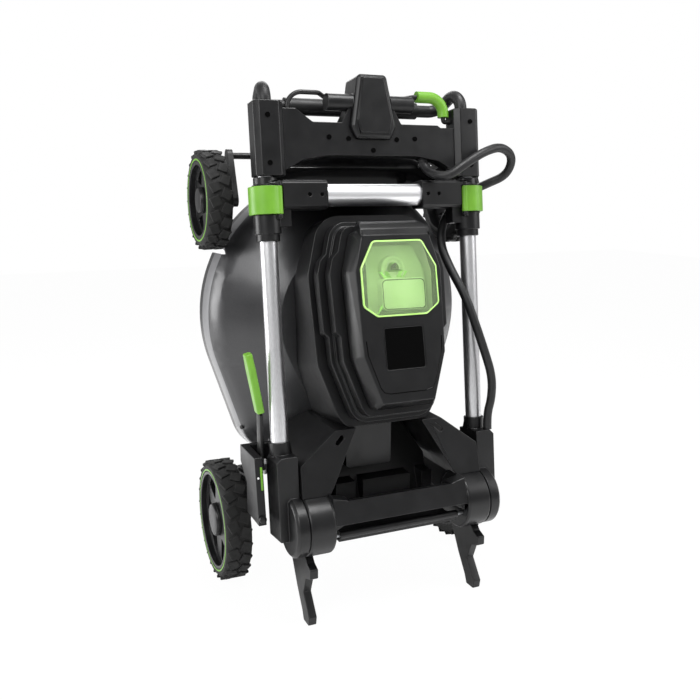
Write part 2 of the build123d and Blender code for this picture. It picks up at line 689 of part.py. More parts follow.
def make_adapter():
    z0 = BLADE_Z + BLADE_THICK
    hub = rod_z(ADAPTER_D, z0, z0 + ADAPTER_HEIGHT / 2, 0, DECK_CENTRE_Y)
    return hub + rod_z(ADAPTER_D / 2, z0 + ADAPTER_HEIGHT / 2, z0 + ADAPTER_HEIGHT, 0, DECK_CENTRE_Y)


def make_blade():
    half = BLADE_LENGTH / 2
    width = BLADE_WIDTH / 2
    bar = rounded([(-half, -width), (half, -width), (half, width), (-half, width)], width / 3)
    blade = flat_plate(bar, 0, BLADE_THICK)
    wing = Pos(half - BLADE_WING_LENGTH / 2 - width / 3, width, 0) * Rot(BLADE_WING_TILT, 0, 0)
    lift = wing * Pos(0, width / 3, 0) * Box(BLADE_WING_LENGTH, width, BLADE_THICK,
                                             align=(Align.CENTER, Align.CENTER, Align.MIN))
    blade += [lift, Rot(0, 0, 180) * lift]
    return Pos(0, DECK_CENTRE_Y, BLADE_Z) * blade


def make_blade_bolt():
    head = extrude(RegularPolygon(BOLT_HEAD / 2, 6), BOLT_HEAD_HEIGHT)
    return Pos(0, DECK_CENTRE_Y, BLADE_Z - BOLT_HEAD_HEIGHT) * head


# Rear frame, feet and discharge
def make_rear_frame():
    drum = rod_x(DRUM_D, DRUM_INNER_X, DRUM_OUTER_X, PIVOT_Y, PIVOT_Z)
    drum = chamfer(drum.edges(), BAR_THICK / 8)
    lean = (BAR_FRONT_Z - BAR_REAR_Z) / (BAR_FRONT_Y - BAR_REAR_Y)
    section = [(BAR_REAR_Y, BAR_REAR_Z), (BAR_FRONT_Y, BAR_FRONT_Z),
               (BAR_FRONT_Y + lean * BAR_THICK, BAR_FRONT_Z - BAR_THICK),
               (BAR_REAR_Y + lean * BAR_THICK, BAR_REAR_Z - BAR_THICK)]
    bar = side_plate(Polygon(*section, align=None), -DRUM_INNER_X - 1, DRUM_INNER_X + 1)
    front_y = BAR_FRONT_Y + BAR_FLARE_RISE / 2
    flare = flat_plate(Polygon((DRUM_INNER_X - BAR_FLARE, BAR_FRONT_Y), (DRUM_INNER_X + 1, front_y),
                               (DRUM_INNER_X + 1, BAR_REAR_Y - BAR_FLARE_RISE),
                               (DRUM_INNER_X - BAR_FLARE, BAR_REAR_Y), align=None),
                       BAR_FRONT_Z - BAR_THICK, BAR_FRONT_Z)
    frame = drum + on_left(drum) + bar + flare + on_left(flare)
    frame -= [rod_x(PIVOT_PIN_D, -DRUM_OUTER_X - 1, -DRUM_INNER_X + 1, PIVOT_Y, PIVOT_Z),
              rod_x(PIVOT_PIN_D, DRUM_INNER_X - 1, DRUM_OUTER_X + 1, PIVOT_Y, PIVOT_Z),
              rod_x(FLAP_ROD_D, -DRUM_INNER_X - FLAP_ROD_D, DRUM_INNER_X + FLAP_ROD_D,
                    FLAP_ROD_Y, FLAP_ROD_Z)]
    return frame


def make_cheek(outer, frame):
    plan = Polygon((CHEEK_FRONT_X, HOUSING_REAR_Y), (CHEEK_FRONT_X + CHEEK_WALL, HOUSING_REAR_Y),
                   (DRUM_OUTER_X - CHEEK_EASE, CHUTE_FLARE_Y + CHEEK_WALL), (DRUM_OUTER_X, CHEEK_REAR_Y),
                   (DRUM_OUTER_X, PIVOT_Y), (DRUM_INNER_X, PIVOT_Y), (DRUM_INNER_X, CHEEK_REAR_Y),
                   (CHUTE_REAR_HALF + CHEEK_EASE, CHUTE_FLARE_Y), align=None)
    side = Polygon((PIVOT_Y, CHEEK_BOTTOM_Z), (HOUSING_REAR_Y, CHEEK_BOTTOM_Z),
                   (HOUSING_REAR_Y, CHEEK_FRONT_Z), (CHEEK_REAR_Y, CHEEK_REAR_Z), (PIVOT_Y, PIVOT_Z),
                   align=None)
    cheek = flat_plate(plan, CHEEK_BOTTOM_Z, CHEEK_REAR_Z) & side_plate(side, CHEEK_FRONT_X, DRUM_OUTER_X)
    pocket = offset(plan, amount=-CHEEK_SKIN)
    core = side_plate(offset(side, amount=-CHEEK_SKIN), 0, DRUM_OUTER_X)
    hollow = flat_plate(pocket, 0, CHEEK_REAR_Z) & core
    hollow += flat_plate(pocket, 0, CHEEK_BOTTOM_Z + 2 * CHEEK_SKIN)
    hollow -= rod_x(DRUM_D + 2 * CHEEK_SKIN, 0, DECK_RADIUS, PIVOT_Y, PIVOT_Z)
    cheek -= [hollow, outer, frame, rod_x(DRUM_D, 0, DECK_RADIUS, PIVOT_Y, PIVOT_Z)]
    slot = flat_plate(SlotOverall(CHEEK_SLOT_LENGTH, CHEEK_SLOT_WIDTH), CHEEK_FRONT_Z - 2 * CHEEK_WALL,
                      CHEEK_REAR_Z)
    cheek -= Pos(CHEEK_SLOT_X, CHEEK_SLOT_Y) * Rot(0, 0, CHEEK_SLOT_TURN) * slot
    return cheek.solids().sort_by(SortBy.VOLUME)[-1]


def make_foot():
    drum_low = PIVOT_Y - DRUM_D / 2
    floor = -REAR_WHEEL_D / 2
    hook_top = drum_low - FOOT_ROOT - FOOT_HOOK_LEAN
    hook_low = hook_top - FOOT_HOOK
    points = [(drum_low + FOOT_ROOT, FOOT_ROOT_Z), (drum_low + FOOT_ROOT, FOOT_NECK_Z),
              (hook_top + FOOT_HOOK_LEAN, FOOT_HOOK_Z - FOOT_HOOK), (hook_top, FOOT_HOOK_Z),
              (hook_low, FOOT_HOOK_Z), (hook_low - FOOT_ROOT, FOOT_HOOK_Z - FOOT_HOOK - FOOT_HOOK_LEAN),
              (floor + FOOT_WAIST_Y, FOOT_WAIST_FRONT_Z),
              (floor + FOOT_TOE_Y, FOOT_TIP_Z + FOOT_TIP_HALF + FOOT_ROUND),
              (floor, FOOT_TIP_Z + FOOT_TIP_HALF), (floor, FOOT_TIP_Z - FOOT_TIP_HALF),
              (floor + FOOT_TOE_Y, FOOT_TIP_Z - FOOT_TIP_HALF - FOOT_TOE_BACK),
              (floor + FOOT_WAIST_Y, FOOT_WAIST_REAR_Z)]
    foot = side_plate(rounded(points, FOOT_ROUND), FOOT_INNER_X, FOOT_INNER_X + FOOT_THICK)
    return foot - rod_x(DRUM_D, 0, DECK_RADIUS, PIVOT_Y, PIVOT_Z)


def make_flap():
    rear = CHUTE_REAR_Y - MOVING_GAP
    panel = block(-FLAP_HALF, FLAP_HALF, rear - FLAP_THICK, rear, FLAP_BOTTOM_Z, FLAP_ROD_Z)
    knuckle = rod_x(2 * FLAP_ROD_D, -FLAP_HALF, FLAP_HALF, FLAP_ROD_Y, FLAP_ROD_Z)
    neck = block(-FLAP_HALF, FLAP_HALF, rear - FLAP_THICK, FLAP_ROD_Y, FLAP_ROD_Z - FLAP_THICK, FLAP_ROD_Z)
    bore = rod_x(FLAP_ROD_D + 2 * RUNNING_CLEARANCE, -DRUM_INNER_X, DRUM_INNER_X, FLAP_ROD_Y, FLAP_ROD_Z)
    return panel + knuckle + neck - bore


def make_hinge_pins():
    flap_rod = rod_x(FLAP_ROD_D, -DRUM_INNER_X - FLAP_ROD_D, DRUM_INNER_X + FLAP_ROD_D,
                     FLAP_ROD_Y, FLAP_ROD_Z)
    ear_end = LID_KNUCKLE_HALF + LID_GAP + LID_EAR_WIDTH
    lid_pin = LID * rod_x(LID_PIN_D, -ear_end, ear_end, LID_PIN_P, LID_PIN_Q)
    pivot = rod_x(PIVOT_PIN_D, DRUM_INNER_X, HUB_OUTER_X - LEVER_THICK, PIVOT_Y, PIVOT_Z)
    return Compound([flap_rod, lid_pin, pivot, on_left(pivot)])


# Wheels and axles
def turned(points):
    return revolve(Plane.XZ * Polygon(*points, align=None), axis=Axis.Z)


def make_wheel(y, z, diameter, width, rim_d):
    inner_x = WHEEL_OUTER_X - width
    place = Pos(inner_x, y, z) * Rot(0, 90, 0)
    r, rim_r = diameter / 2, rim_d / 2
    edge = width / 6
    tyre = turned([(rim_r, 0), (r - edge, 0), (r, edge), (r, width - edge), (r - edge, width),
                   (rim_r, width)])
    gap = Box(3 * TREAD_DEPTH, TREAD_GAP, width / 2)
    cuts = []
    for index in range(TREAD_BLOCKS):
        level, lean = (width / 4, TREAD_TURN) if index % 2 else (3 * width / 4, -TREAD_TURN)
        turn = Rot(0, 0, 360 * index / TREAD_BLOCKS)
        cuts.append(turn * Pos(r + TREAD_DEPTH / 2, 0, level) * Rot(lean, 0, 0) * gap)
    tyre -= cuts
    hub_r = rim_r * HUB_SHARE
    bore_r = AXLE_D / 2 + RUNNING_CLEARANCE
    web_top, web_bottom = width - 2 * RIM_WALL, width - 4 * RIM_WALL
    rim = turned([(rim_r - RIM_WALL, 0), (rim_r, 0), (rim_r, width), (rim_r - RIM_WALL, width)])
    web_r = rim_r - RIM_WALL / 2
    rim += turned([(bore_r, web_bottom), (web_r, web_bottom), (web_r, web_top), (bore_r, web_top)])
    rim += turned([(bore_r, RIM_WALL / 2), (hub_r - RIM_WALL, RIM_WALL / 2), (hub_r, web_bottom),
                   (hub_r, width - RIM_WALL), (bore_r, width - RIM_WALL)])
    outer = rim_r - 2 * RIM_WALL
    inner = hub_r + RIM_WALL
    half_span = radians(SPOKE_SHARE * 180 / RIM_SPOKES)
    side_x, side_y = outer * cos(half_span), outer * sin(half_span)
    window = rounded([(inner, 0), (side_x, side_y), (outer, 0), (side_x, -side_y)], RIM_WALL / 2)
    for index in range(RIM_SPOKES):
        rim -= Rot(0, 0, 360 * index / RIM_SPOKES) * flat_plate(window, web_bottom - 1, web_top + 1)
    dome = width + RIM_WALL / 6
    cap = turned([(0, width - RIM_WALL), (hub_r, width - RIM_WALL),
                  (hub_r - RIM_WALL / 3, width - RIM_WALL / 6), (hub_r - 2 * RIM_WALL, dome), (0, dome)])
    return place * tyre, place * rim, place * cap


def make_axle(shaft, y, z, left_reach):
    arm_outer = CRANK_ARM_INNER_X + CRANK_ARM_THICK
    sketch = hull_of((shaft[0], shaft[1], CRANK_ARM_WIDTH / 2), (y, z, CRANK_ARM_WIDTH / 2))
    arm = side_plate(sketch, CRANK_ARM_INNER_X, arm_outer)
    stub = rod_x(AXLE_D, CRANK_ARM_INNER_X + 1, WHEEL_OUTER_X - 2 * RIM_WALL, y, z)
    side = arm + stub
    return rod_x(AXLE_D, -left_reach, arm_outer, *shaft) + side + on_left(side)


def grip_point(depth):
    foot, tip = Vector(*GRIP_FOOT), Vector(*GRIP_TIP)
    return foot + (tip - foot).normalized() * depth


def make_height_lever():
    half = LEVER_STRIP / 2
    hub = rod_x(3 * LEVER_ROD_D, LEVER_X - half, LEVER_X + half, *REAR_SHAFT)
    path = FilletPolyline((LEVER_X, *REAR_SHAFT), (LEVER_X, *LEVER_KNEE), (LEVER_X, *LEVER_BEND), GRIP_FOOT,
                          grip_point(GRIP_SOCKET), radius=LEVER_ROD_D)
    arm = sweep(Plane(path @ 0, z_dir=path % 0) * Rectangle(LEVER_ROD_D, LEVER_STRIP), path)
    lever = hub + arm
    bore = rod_x(AXLE_D, LEVER_X - LEVER_ROD_D, LEVER_X + LEVER_ROD_D, *REAR_SHAFT)
    return lever - bore


def make_lever_grip(lever):
    foot, tip = Vector(*GRIP_FOOT), Vector(*GRIP_TIP)
    plane = Plane(foot, x_dir=(1, 0, 0), z_dir=tip - foot)
    length = (tip - foot).length
    ends = [plane.offset(length * share) * fillet(Rectangle(GRIP_THICK, width).vertices(), GRIP_ROUND)
            for share, width in ((0, GRIP_WIDTH), (GRIP_SWELL_AT, GRIP_SWELL), (1, GRIP_END_WIDTH))]
    return loft(ends, ruled=True) - lever


def make_quadrant(cheek):
    points = [(QUADRANT_FRONT_Y - QUADRANT_ARM, QUADRANT_BOTTOM_Z), (QUADRANT_FRONT_Y, QUADRANT_BOTTOM_Z),
              (QUADRANT_FRONT_Y, QUADRANT_FRONT_TOP_Z), (QUADRANT_REAR_Y, QUADRANT_REAR_TOP_Z),
              (QUADRANT_REAR_Y, QUADRANT_WAIST_Z), (QUADRANT_WAIST_Y, QUADRANT_WAIST_Z)]
    plate = side_plate(Polygon(*points, align=None), QUADRANT_X - QUADRANT_THICK, QUADRANT_X)
    web = block(QUADRANT_X - 1, -DRUM_OUTER_X + CHEEK_SKIN, QUADRANT_FRONT_Y - QUADRANT_ARM, QUADRANT_FRONT_Y,
                QUADRANT_BOTTOM_Z, QUADRANT_BOTTOM_Z + QUADRANT_WEB)
    return (plate + web - cheek).solids().sort_by(SortBy.VOLUME)[-1]


# Lower handle
def make_bracket():
    hub = rod_x(HUB_D, BRACKET_INNER_X, HUB_OUTER_X, 0, 0)
    hub = chamfer(hub.edges().sort_by(Axis.X)[-1], HUB_CHAMFER)
    depth = BRACKET_HALF_DEPTH
    arm = block(BRACKET_INNER_X, BRACKET_OUTER_X, -depth, BRACKET_TOP, TUBE_W - depth, BRACKET_FRONT_W)
    corner = arm.edges().filter_by(Axis.Z).group_by(Axis.Y)[-1].sort_by(Axis.X)[-1]
    arm = chamfer(corner, BRACKET_CHAMFER)
    bracket = hub + arm + rod_v(COLLAR_D, BRACKET_TOP - 1, COLLAR_TOP, TUBE_X, TUBE_W)
    bracket -= rod_v(LOWER_TUBE_D, LOWER_TUBE_START, COLLAR_TOP + 1, TUBE_X, TUBE_W)
    pin_r = PIVOT_PIN_D + 2 * RUNNING_CLEARANCE
    return bracket - rod_x(pin_r, BRACKET_INNER_X - 1, HUB_OUTER_X - LEVER_THICK + MOVING_GAP, 0, 0)


def lever_pin_place():
    reach = CLAMP_D / 2 + MOVING_GAP + LEVER_THICK / 2
    angle = radians(180 - LEVER_START_ANGLE)
    return TUBE_X + reach * cos(angle), TUBE_W + reach * sin(angle)


def across(sketch, v0, v1):
    plane = Plane((0, v0, 0), x_dir=(1, 0, 0), z_dir=(0, -1, 0))
    return extrude(plane * sketch, v1 - v0, dir=(0, 1, 0))


def make_clamp():
    pin_x, pin_w = lever_pin_place()
    body = rod_v(CLAMP_D, CLAMP_BOTTOM + CLAMP_NECK, CLAMP_TOP - CLAMP_NECK, TUBE_X, TUBE_W)
    body += rod_v(CLAMP_NECK_D, CLAMP_BOTTOM, CLAMP_TOP, TUBE_X, TUBE_W)
    ear_sketch = hull_of((pin_x, pin_w, LEVER_PIN_D), (TUBE_X, TUBE_W, LEVER_PIN_D))
    body += across(ear_sketch, LEVER_BOTTOM - CLAMP_EAR, LEVER_BOTTOM - MOVING_GAP)
    body += across(ear_sketch, LEVER_TOP + MOVING_GAP, LEVER_TOP + CLAMP_EAR)
    half = SOCKET_HEIGHT / 2
    front = TUBE_W + SOCKET_DEPTH / 2
    socket = block(SOCKET_END_X, TUBE_X, CROSSBAR_V - half, CROSSBAR_V + half, front - SOCKET_DEPTH, front)
    socket = chamfer(socket.edges().filter_by(Axis.X), SOCKET_CHAMFER)
    for x in SOCKET_SCREWS_X:
        socket -= Pos(x, CROSSBAR_V, front) * Cylinder(SCREW_HOLE_D / 2, 2 * SCREW_HOLE_DEPTH)
    leg = block(CLAMP_LEG_X, TUBE_X, CROSSBAR_V - CLAMP_LEG_DROP, CROSSBAR_V, TUBE_W - CLAMP_LEG_DEPTH / 2,
                TUBE_W + CLAMP_LEG_DEPTH / 2)
    body += [socket, leg]
    body -= rod_v(LEVER_RELIEF_D, LEVER_BOTTOM - MOVING_GAP, LEVER_TOP + MOVING_GAP, pin_x, pin_w)
    body -= across(lever_band(2 * MOVING_GAP), LEVER_BOTTOM - MOVING_GAP, LEVER_TOP + MOVING_GAP)
    body -= rod_x(CROSSBAR_D, SOCKET_END_X - 1, CROSSBAR_HALF, CROSSBAR_V, TUBE_W)
    body -= rod_v(LEVER_PIN_D, CLAMP_BOTTOM, CLAMP_TOP, pin_x, pin_w)
    return body - rod_v(LOWER_TUBE_D, CLAMP_BOTTOM - 1, CLAMP_TOP + 1, TUBE_X, TUBE_W)


def lever_band(ease):
    inner = CLAMP_D / 2 + MOVING_GAP
    start = 180 - LEVER_END_ANGLE - ease
    span = LEVER_END_ANGLE - LEVER_START_ANGLE + 2 * ease
    arc_in = CenterArc((0, 0), inner - ease, start, span)
    arc_out = CenterArc((0, 0), inner + LEVER_THICK + ease, start, span)
    band = make_face([arc_in, arc_out, Line(arc_in @ 0, arc_out @ 0), Line(arc_in @ 1, arc_out @ 1)])
    return Pos(TUBE_X, TUBE_W) * band


def make_flip_lever():
    inner = CLAMP_D / 2 + MOVING_GAP
    pin_x, pin_w = lever_pin_place()
    lever = across(lever_band(0), LEVER_BOTTOM, LEVER_TOP)
    lever += rod_v(2 * LEVER_THICK - 2 * MOVING_GAP, LEVER_BOTTOM, LEVER_TOP, pin_x, pin_w)
    lever -= rod_v(2 * inner, LEVER_BOTTOM - 1, LEVER_TOP + 1, TUBE_X, TUBE_W)
    return lever - rod_v(LEVER_PIN_D + 2 * RUNNING_CLEARANCE, LEVER_BOTTOM - 1, LEVER_TOP + 1, pin_x, pin_w)


def make_lever_pins():
    pin_x, pin_w = lever_pin_place()
    pin = rod_v(LEVER_PIN_D, LEVER_BOTTOM - CLAMP_EAR, LEVER_TOP + CLAMP_EAR, pin_x, pin_w)
    return Compound([pin, on_left(pin)])


def make_crossbar():
    bar = rod_x(CROSSBAR_D, -CROSSBAR_HALF, CROSSBAR_HALF, CROSSBAR_V, TUBE_W)
    return bar - rod_x(CROSSBAR_D - 2 * CROSSBAR_WALL, -TUBE_X, TUBE_X, CROSSBAR_V, TUBE_W)


# Upper handle and console
def make_column():
    body = block(COLUMN_INNER_X, COLUMN_OUTER_X, COLUMN_BOTTOM, COLUMN_TOP, COLUMN_BACK_W, COLUMN_FRONT_W)
    body = chamfer(body.edges().filter_by(Axis.Y), COLUMN_CHAMFER)
    socket_top = COLUMN_TOP - GRIP_TUBE_D
    body -= rod_v(UPPER_TUBE_D, COLUMN_BOTTOM - 1, socket_top - GRIP_TUBE_D, TUBE_X, TUBE_W)
    body -= rod_v(GRIP_TUBE_D, socket_top, COLUMN_TOP + 1, GRIP_SIDE_X, TUBE_W)
    bail_end = BAIL_SIDE_X + 2 * BAIL_END
    return body - rod_x(BAIL_D + 2 * RUNNING_CLEARANCE, 0, bail_end, BAIL_PIVOT_V, BAIL_PIVOT_W)


def make_web():
    edge = COLUMN_INNER_X
    outline = symmetric([(edge, WEB_TOP), (edge, WEB_SIDE_BOTTOM),
                         (WEB_KNEE_X, WEB_MID_BOTTOM - WEB_KNEE_DROP), (WEB_MID_X, WEB_MID_BOTTOM)])
    plate = flat_plate(Polygon(*outline, align=None), WEB_BACK_W, WEB_FRONT_W)
    notch = Polygon((edge + 1, WEB_TOP + 1), (SWITCH_BOTTOM_HALF, WEB_TOP + 1),
                    (SWITCH_BOTTOM_HALF + WEB_CUT_SLOPE, WEB_CUT_BOTTOM),
                    (BAIL_SIDE_X - BAIL_SLEEVE_D, WEB_CUT_BOTTOM),
                    (BAIL_SIDE_X - BAIL_SLEEVE_D * 0.7, WEB_BAIL_V), (edge + 1, WEB_BAIL_V), align=None)
    cut = flat_plate(notch, WEB_BACK_W - 1, WEB_FRONT_W + 1)
    plate -= [cut, on_left(cut)]
    wing = Polygon((-edge, WING_TOP), (-WING_IN_X, WING_TOP), (-WING_END_X, WEB_CUT_BOTTOM),
                   (-WING_END_X, WING_FOOT), (-edge, WING_FOOT), align=None)
    plate += flat_plate(wing, WEB_FRONT_W - WING_THICK, WEB_FRONT_W)
    x, v, w = CABLE_ROUTE[0]
    boot = Pos(0, -CROSSBAR_V, 0) * rod_v(BOOT_D, v - 2 * BOOT_LENGTH, v + BOOT_LENGTH, x, w)
    return plate - switch_volume() - barrels() - boot


def switch_volume():
    outline = symmetric([(SWITCH_TOP_HALF, SWITCH_TOP), (SWITCH_BOTTOM_HALF, SWITCH_BOTTOM + SWITCH_TAPER),
                         (SWITCH_BOTTOM_HALF - SWITCH_TAPER_IN, SWITCH_BOTTOM)])
    return flat_plate(rounded(outline, SWITCH_ROUND), SWITCH_BACK_W, SWITCH_FRONT_W)


def barrels():
    return rod_x(BARREL_D, -BARREL_END_X, BARREL_END_X, BARREL_V, BARREL_W)


def make_switch_box():
    box = chamfer(switch_volume().faces().sort_by(Axis.Z)[-1].edges(), SWITCH_CHAMFER)
    panel = rounded(symmetric([(PANEL_TOP_HALF, PANEL_TOP), (PANEL_WAIST_HALF, PANEL_WAIST),
                               (PANEL_BOTTOM_HALF, PANEL_BOTTOM)]), SWITCH_CHAMFER)
    box += [barrels(), flat_plate(panel, SWITCH_FRONT_W - PANEL_PROUD, SWITCH_FRONT_W + PANEL_PROUD)]
    button = Pos(0, BUTTON_V, SWITCH_BACK_W + BUTTON_DEPTH / 2) * Cylinder(
        BUTTON_D / 2 + MOVING_GAP, BUTTON_DEPTH + MOVING_GAP)
    return box - button


def make_button():
    travel = BUTTON_PROUD - 1
    depth = BUTTON_DEPTH - travel + BUTTON_PROUD
    button = Cylinder(BUTTON_D / 2, depth, align=(Align.CENTER, Align.CENTER, Align.MIN))
    button = chamfer(button.edges().sort_by(Axis.Z)[0], BUTTON_CHAMFER)
    return Pos(0, BUTTON_V, SWITCH_BACK_W - BUTTON_PROUD) * button


def grip_path():
    side, rise = GRIP_SIDE_X, GRIP_RISE_V
    return FilletPolyline((side, COLUMN_TOP - GRIP_TUBE_D, TUBE_W), (side, rise, TUBE_W),
                          (GRIP_BAR_HALF, GRIP_BAR_V, GRIP_BAR_W), (-GRIP_BAR_HALF, GRIP_BAR_V, GRIP_BAR_W),
                          (-side, rise, TUBE_W), (-side, COLUMN_TOP - GRIP_TUBE_D, TUBE_W),
                          radius=GRIP_BEND_R)


def along(path, diameter):
    return sweep(Plane(path @ 0, z_dir=path % 0) * Circle(diameter / 2), path)


def make_grip_sleeve():
    length = GRIP_SLEEVE_HALF
    sleeve = rod_x(GRIP_SLEEVE_D, -length, length, GRIP_BAR_V, GRIP_BAR_W)
    return sleeve - rod_x(GRIP_TUBE_D, -TUBE_X, TUBE_X, GRIP_BAR_V, GRIP_BAR_W)


def make_bail():
    side, top, w = BAIL_SIDE_X, BAIL_TOP_V, BAIL_PIVOT_W
    path = FilletPolyline((side + BAIL_END, BAIL_PIVOT_V, w), (side, BAIL_PIVOT_V, w), (side, top, w),
                          (BAIL_JOG_OUT, top, w), (BAIL_JOG_IN, top, BAIL_BACK_W),
                          (-BAIL_JOG_IN, top, BAIL_BACK_W), (-BAIL_JOG_OUT, top, w), (-side, top, w),
                          (-side, BAIL_PIVOT_V, w),
                          (-side - BAIL_END, BAIL_PIVOT_V, w),
                          radius=[BAIL_END_R, BAIL_CORNER_R, *[BAIL_BEND_R] * 4, BAIL_CORNER_R, BAIL_END_R])
    return along(path, BAIL_D)


def make_bail_sleeve():
    side, top, w = BAIL_SIDE_X, BAIL_TOP_V, BAIL_PIVOT_W
    path = FilletPolyline((BAIL_SLEEVE_START, top, w), (side, top, w), (side, BAIL_PIVOT_V + BAIL_D, w),
                          radius=BAIL_CORNER_R)
    return along(path, BAIL_SLEEVE_D) - along(path, BAIL_D)


def make_boot():
    x, v, w = CABLE_ROUTE[0]
    boot = rod_v(BOOT_D, v - BOOT_LENGTH / 2, v + BOOT_LENGTH, x, w)
    return boot - rod_v(CABLE_D, v - BOOT_LENGTH, v, x, w)


def cable_radii():
    points = [Vector(*point) for point in CABLE_ROUTE]
    radii = []
    for before, here, after in zip(points, points[1:], points[2:]):
        first, second = here - before, after - here
        half_turn = radians(first.get_angle(second)) / 2
        radii.append(0.45 * min(first.length, second.length) / tan(half_turn))
    return radii


def make_cable():
    radii = cable_radii()
    print("cable radii", [round(radius, 1) for radius in radii])
    path = FilletPolyline(*CABLE_ROUTE, radius=radii)
    cable = along(path, CABLE_D)
    straight = pi * CABLE_D ** 2 / 4 * path.length
    print("cable length", round(path.length, 1), "volume ratio", round(cable.volume / straight, 4))
    return cable


# Every node, in the mowing frame
def build_nodes():
    outer = deck_volume(0)
    frame = make_rear_frame()
    cheek = make_cheek(outer, frame)
    lever = make_height_lever()
    nodes = {
        "deck_shell": make_deck_shell(outer),
        "front_hood": make_front_hood(outer),
        "discharge_chute": make_chute(cheek),
        "motor_housing": make_motor_housing(outer),
        "battery_bay": make_bay(),
        "battery_pack": make_battery(),
        "battery_lid": make_lid(),
        "lid_window": make_window(),
        "motor_stator": make_stator(),
        "motor_rotor": make_rotor(),
        "blade_adapter": make_adapter(),
        "blade": make_blade(),
        "blade_bolt": make_blade_bolt(),
        "rear_frame": frame,
        "rear_flap": make_flap(),
        "hinge_pins": make_hinge_pins(),
        "height_quadrant": make_quadrant(on_left(cheek)),
        "height_lever": lever,
        "height_lever_grip": make_lever_grip(lever),
        "front_axle": make_axle(FRONT_SHAFT, WHEELBASE, FRONT_AXLE_Z, CRANK_ARM_INNER_X + CRANK_ARM_THICK),
        "rear_axle": make_axle(REAR_SHAFT, 0, REAR_AXLE_Z, LEVER_ROD_D / 2 - LEVER_X),
    }
    for name, y, z, diameter, width, rim_d in (
            ("front", WHEELBASE, FRONT_AXLE_Z, FRONT_WHEEL_D, FRONT_TYRE_WIDTH, FRONT_RIM_D),
            ("rear", 0, REAR_AXLE_Z, REAR_WHEEL_D, REAR_TYRE_WIDTH, REAR_RIM_D)):
        pieces = make_wheel(y, z, diameter, width, rim_d)
        for piece, shape in zip(("tyre", "rim", "hub_cap"), pieces):
            nodes[f"{name}_right_{piece}"] = shape
            nodes[f"{name}_left_{piece}"] = on_left(shape)
    for piece, shape in (("cheek", cheek), ("storage_foot", make_foot())):
        nodes[f"right_{piece}"] = shape
        nodes[f"left_{piece}"] = on_left(shape)
    handed = {
        "handle_bracket": make_bracket(),
        "lower_tube": tube(LOWER_TUBE_D, LOWER_TUBE_WALL, LOWER_TUBE_START, CLAMP_TOP - LOWER_TUBE_SHY,
                           TUBE_X, TUBE_W),
        "tube_clamp": make_clamp(),
        "flip_lever": make_flip_lever(),
        "upper_tube": tube(UPPER_TUBE_D, UPPER_TUBE_WALL, UPPER_TUBE_START,
                           CROSSBAR_V + COLUMN_TOP - 2 * GRIP_TUBE_D, TUBE_X, TUBE_W),
    }
    for piece, shape in handed.items():
        nodes[f"right_{piece}"] = HANDLE * shape
        nodes[f"left_{piece}"] = HANDLE * on_left(shape)
    column = make_column()
    console = {
        "right_console_column": column,
        "left_console_column": on_left(column),
        "console_web": make_web(),
        "switch_box": make_switch_box(),
        "start_button": make_button(),
        "grip_tube": along(grip_path(), GRIP_TUBE_D),
        "grip_sleeve": make_grip_sleeve(),
        "bail_rod": make_bail(),
        "bail_sleeve": make_bail_sleeve(),
    }
    nodes.update({name: CONSOLE * shape for name, shape in console.items()})
    single = {
        "crossbar": make_crossbar(),
        "flip_lever_pins": make_lever_pins(),
        "cable_boot": make_boot(),
        "power_cable": make_cable(),
    }
    nodes.update({name: HANDLE * shape for name, shape in single.items()})
    return nodes


# Stand the machine on its tail, centred over the origin, and write one file for each node
os.makedirs("parts", exist_ok=True)
pieces = build_nodes()
tallest = max(shape.bounding_box().max.Z for node, shape in pieces.items() if node != "power_cable")
stance = Location((0, tallest / 2, REAR_WHEEL_D / 2), (90, 0, 0))
print("tallest", round(tallest, 3))
for node, shape in pieces.items():
    export_step(stance * shape, f"parts/{node}.step")
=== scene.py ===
# %% [markdown]
# # A push mower, stored on its tail
# The machine stands on its rear wheels and two feet, with the handle folded over the deck.
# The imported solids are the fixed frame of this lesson: every piece made here sits where they are.
# We first set the camera and the cable, then mix the finishes and dress the frame with them. Then
# the mouldings are rounded, the small pieces added, and at last the studio is lit.

# %% Load the frame
import json
from math import cos, pi, radians, sin

import bpy
from mathutils import Matrix, Vector


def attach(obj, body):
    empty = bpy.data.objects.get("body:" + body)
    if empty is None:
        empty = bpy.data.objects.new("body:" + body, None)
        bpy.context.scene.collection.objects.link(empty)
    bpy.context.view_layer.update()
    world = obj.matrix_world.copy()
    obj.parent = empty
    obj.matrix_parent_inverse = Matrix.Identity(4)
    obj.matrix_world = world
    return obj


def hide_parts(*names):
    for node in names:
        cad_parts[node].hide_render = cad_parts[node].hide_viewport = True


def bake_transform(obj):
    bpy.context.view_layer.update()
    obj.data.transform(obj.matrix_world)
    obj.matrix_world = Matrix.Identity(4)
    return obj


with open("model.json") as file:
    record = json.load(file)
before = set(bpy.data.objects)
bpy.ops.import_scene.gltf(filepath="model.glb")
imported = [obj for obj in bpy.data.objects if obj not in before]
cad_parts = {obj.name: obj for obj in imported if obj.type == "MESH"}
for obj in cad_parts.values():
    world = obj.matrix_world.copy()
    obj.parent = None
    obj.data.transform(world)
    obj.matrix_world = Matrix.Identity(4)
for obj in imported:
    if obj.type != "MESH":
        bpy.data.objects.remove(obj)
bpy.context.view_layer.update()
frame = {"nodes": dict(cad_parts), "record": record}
nodes = frame["nodes"]
body_of = {node: body for body, held in frame["record"]["behaviour"]["bodies"].items() for node in held}
slot_of = {part["node"]: part["material_slot"] for part in frame["record"]["subparts"]}

# %% [markdown]
# The machine was measured as it mows: x to the right, y forward from the rear axle, z up.
# Standing on its tail, forward becomes up. The handle and the battery lid each lean, so each has
# its own small frame. Three functions take millimetres there and give metres here, and a fourth
# turns a piece made flat on the ground so that it faces out of a panel.

